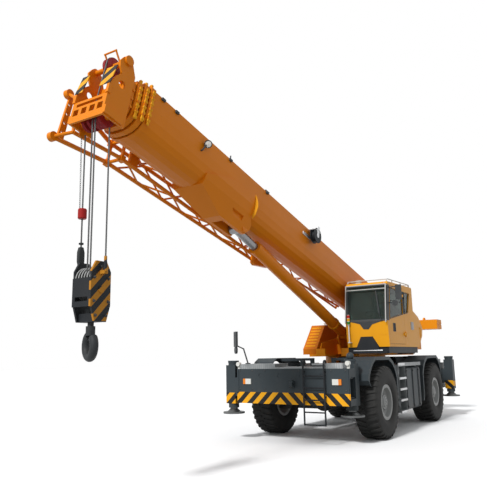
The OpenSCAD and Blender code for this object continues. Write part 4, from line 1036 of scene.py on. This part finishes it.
lens = turned([(0.002, 0.013), (0.056, 0.013), (0.05, 0.024), (0.002, 0.03)], lamp_at, lamp_aim, 24)
settled(lens, "side_lamp_lens", finish["lamp_lens"], "boom")
REEL_S, REEL_N, REEL_Y = 4.75, 0.33, 0.551
yoke = [boom_plate(REEL_S, REEL_Y, REEL_N, ((-0.03, -0.03), (0.03, -0.03), (0.05, 0.2), (-0.05, 0.2)), 0.010),
        boom_plate(REEL_S, 0.374, REEL_N, oblong(0.05, 0.11, 0.12), 0.187),
        turned([(0.004, 0), (0.05, 0), (0.05, 0.006), (0.03, 0.012), (0.004, 0.012)],
               on_boom(REEL_S, REEL_Y, REEL_N), (0, 1, 0), 20),
        brick_on_boom((4.80, 0.376, 0.235), (5.12, 0.40, 0.30)),
        brick_on_boom((4.62, 0.40, 0.42), (4.90, 0.55, 0.435))]
settled(joined(*yoke), "reel_bracket", bright_steel, "boom")
print("boom trim fitted")

# %% [markdown]
# ## Hook block
# The cheeks are held by bolts, bowed guards keep the rope in its sheaves, and the left standing rope ends in a wedge
# socket with a collar.

# %% Hook block bolts
head_line = [(0.003, 0), (0.022, 0), (0.022, 0.004), (0.016, 0.006), (0.016, 0.02), (0.003, 0.022)]
bolt_spots = ((-0.09, 2.27), (0.09, 2.27), (-0.12, 2.45), (0.12, 2.45), (-0.12, 2.75), (0.12, 2.75), (0, 2.90))
seed = turned(head_line, (0, 0, 0), (0, 0, 1), 6)
heads = []
for side in (-1, 1):
    turn = Matrix.Rotation(-side * math.pi / 2, 4, "X")
    heads += [copied(seed, Matrix.Translation(at(HANG + x, side * 0.17, z)) @ turn) for x, z in bolt_spots]
bpy.data.objects.remove(seed)
settled(joined(*heads), "block_bolts", finish["cast_metal"], "hook_block")
print("block bolts", len(heads))

# %% Rope guards and wedge socket
GUARD_X, GUARD_Z = 0.158, 2.735
guards = [tube([at(HANG - GUARD_X, y, GUARD_Z) for y in (-0.142, 0.142)], 0.011, 8)]
for k in range(6):
    bow = arc(at(HANG, -0.13 + 0.052 * k, GUARD_Z), (GUARD_X, 0, 0), (0, 0, 0.16), 0, 180, 16)
    guards.append(tube(bow, 0.0085, 8))
settled(joined(*guards), "block_rope_guards", finish["rim_paint"], "hook_block")
wedge_half = [(0.028, 3.20), (0.05, 3.13), (0.05, 3.0), (0.03, 2.94)]
wedge_line = [(-0.028, 3.20)] + wedge_half + [(-x, z) for x, z in reversed(wedge_half[1:])]
wedge = plate([at(HANG + x, -0.262, z) for x, z in wedge_line], (0, 0.054, 0), 0.008)
collar = turned([(0.012, 0), (0.03, 0), (0.034, 0.012), (0.03, 0.024), (0.012, 0.024)],
                at(HANG, -STAND_Y, 3.235), (0, 0, 1), 16)
settled(joined(wedge, collar), "wedge_socket", hook_steel, "hook_block")
print("block rope guards", len(guards))
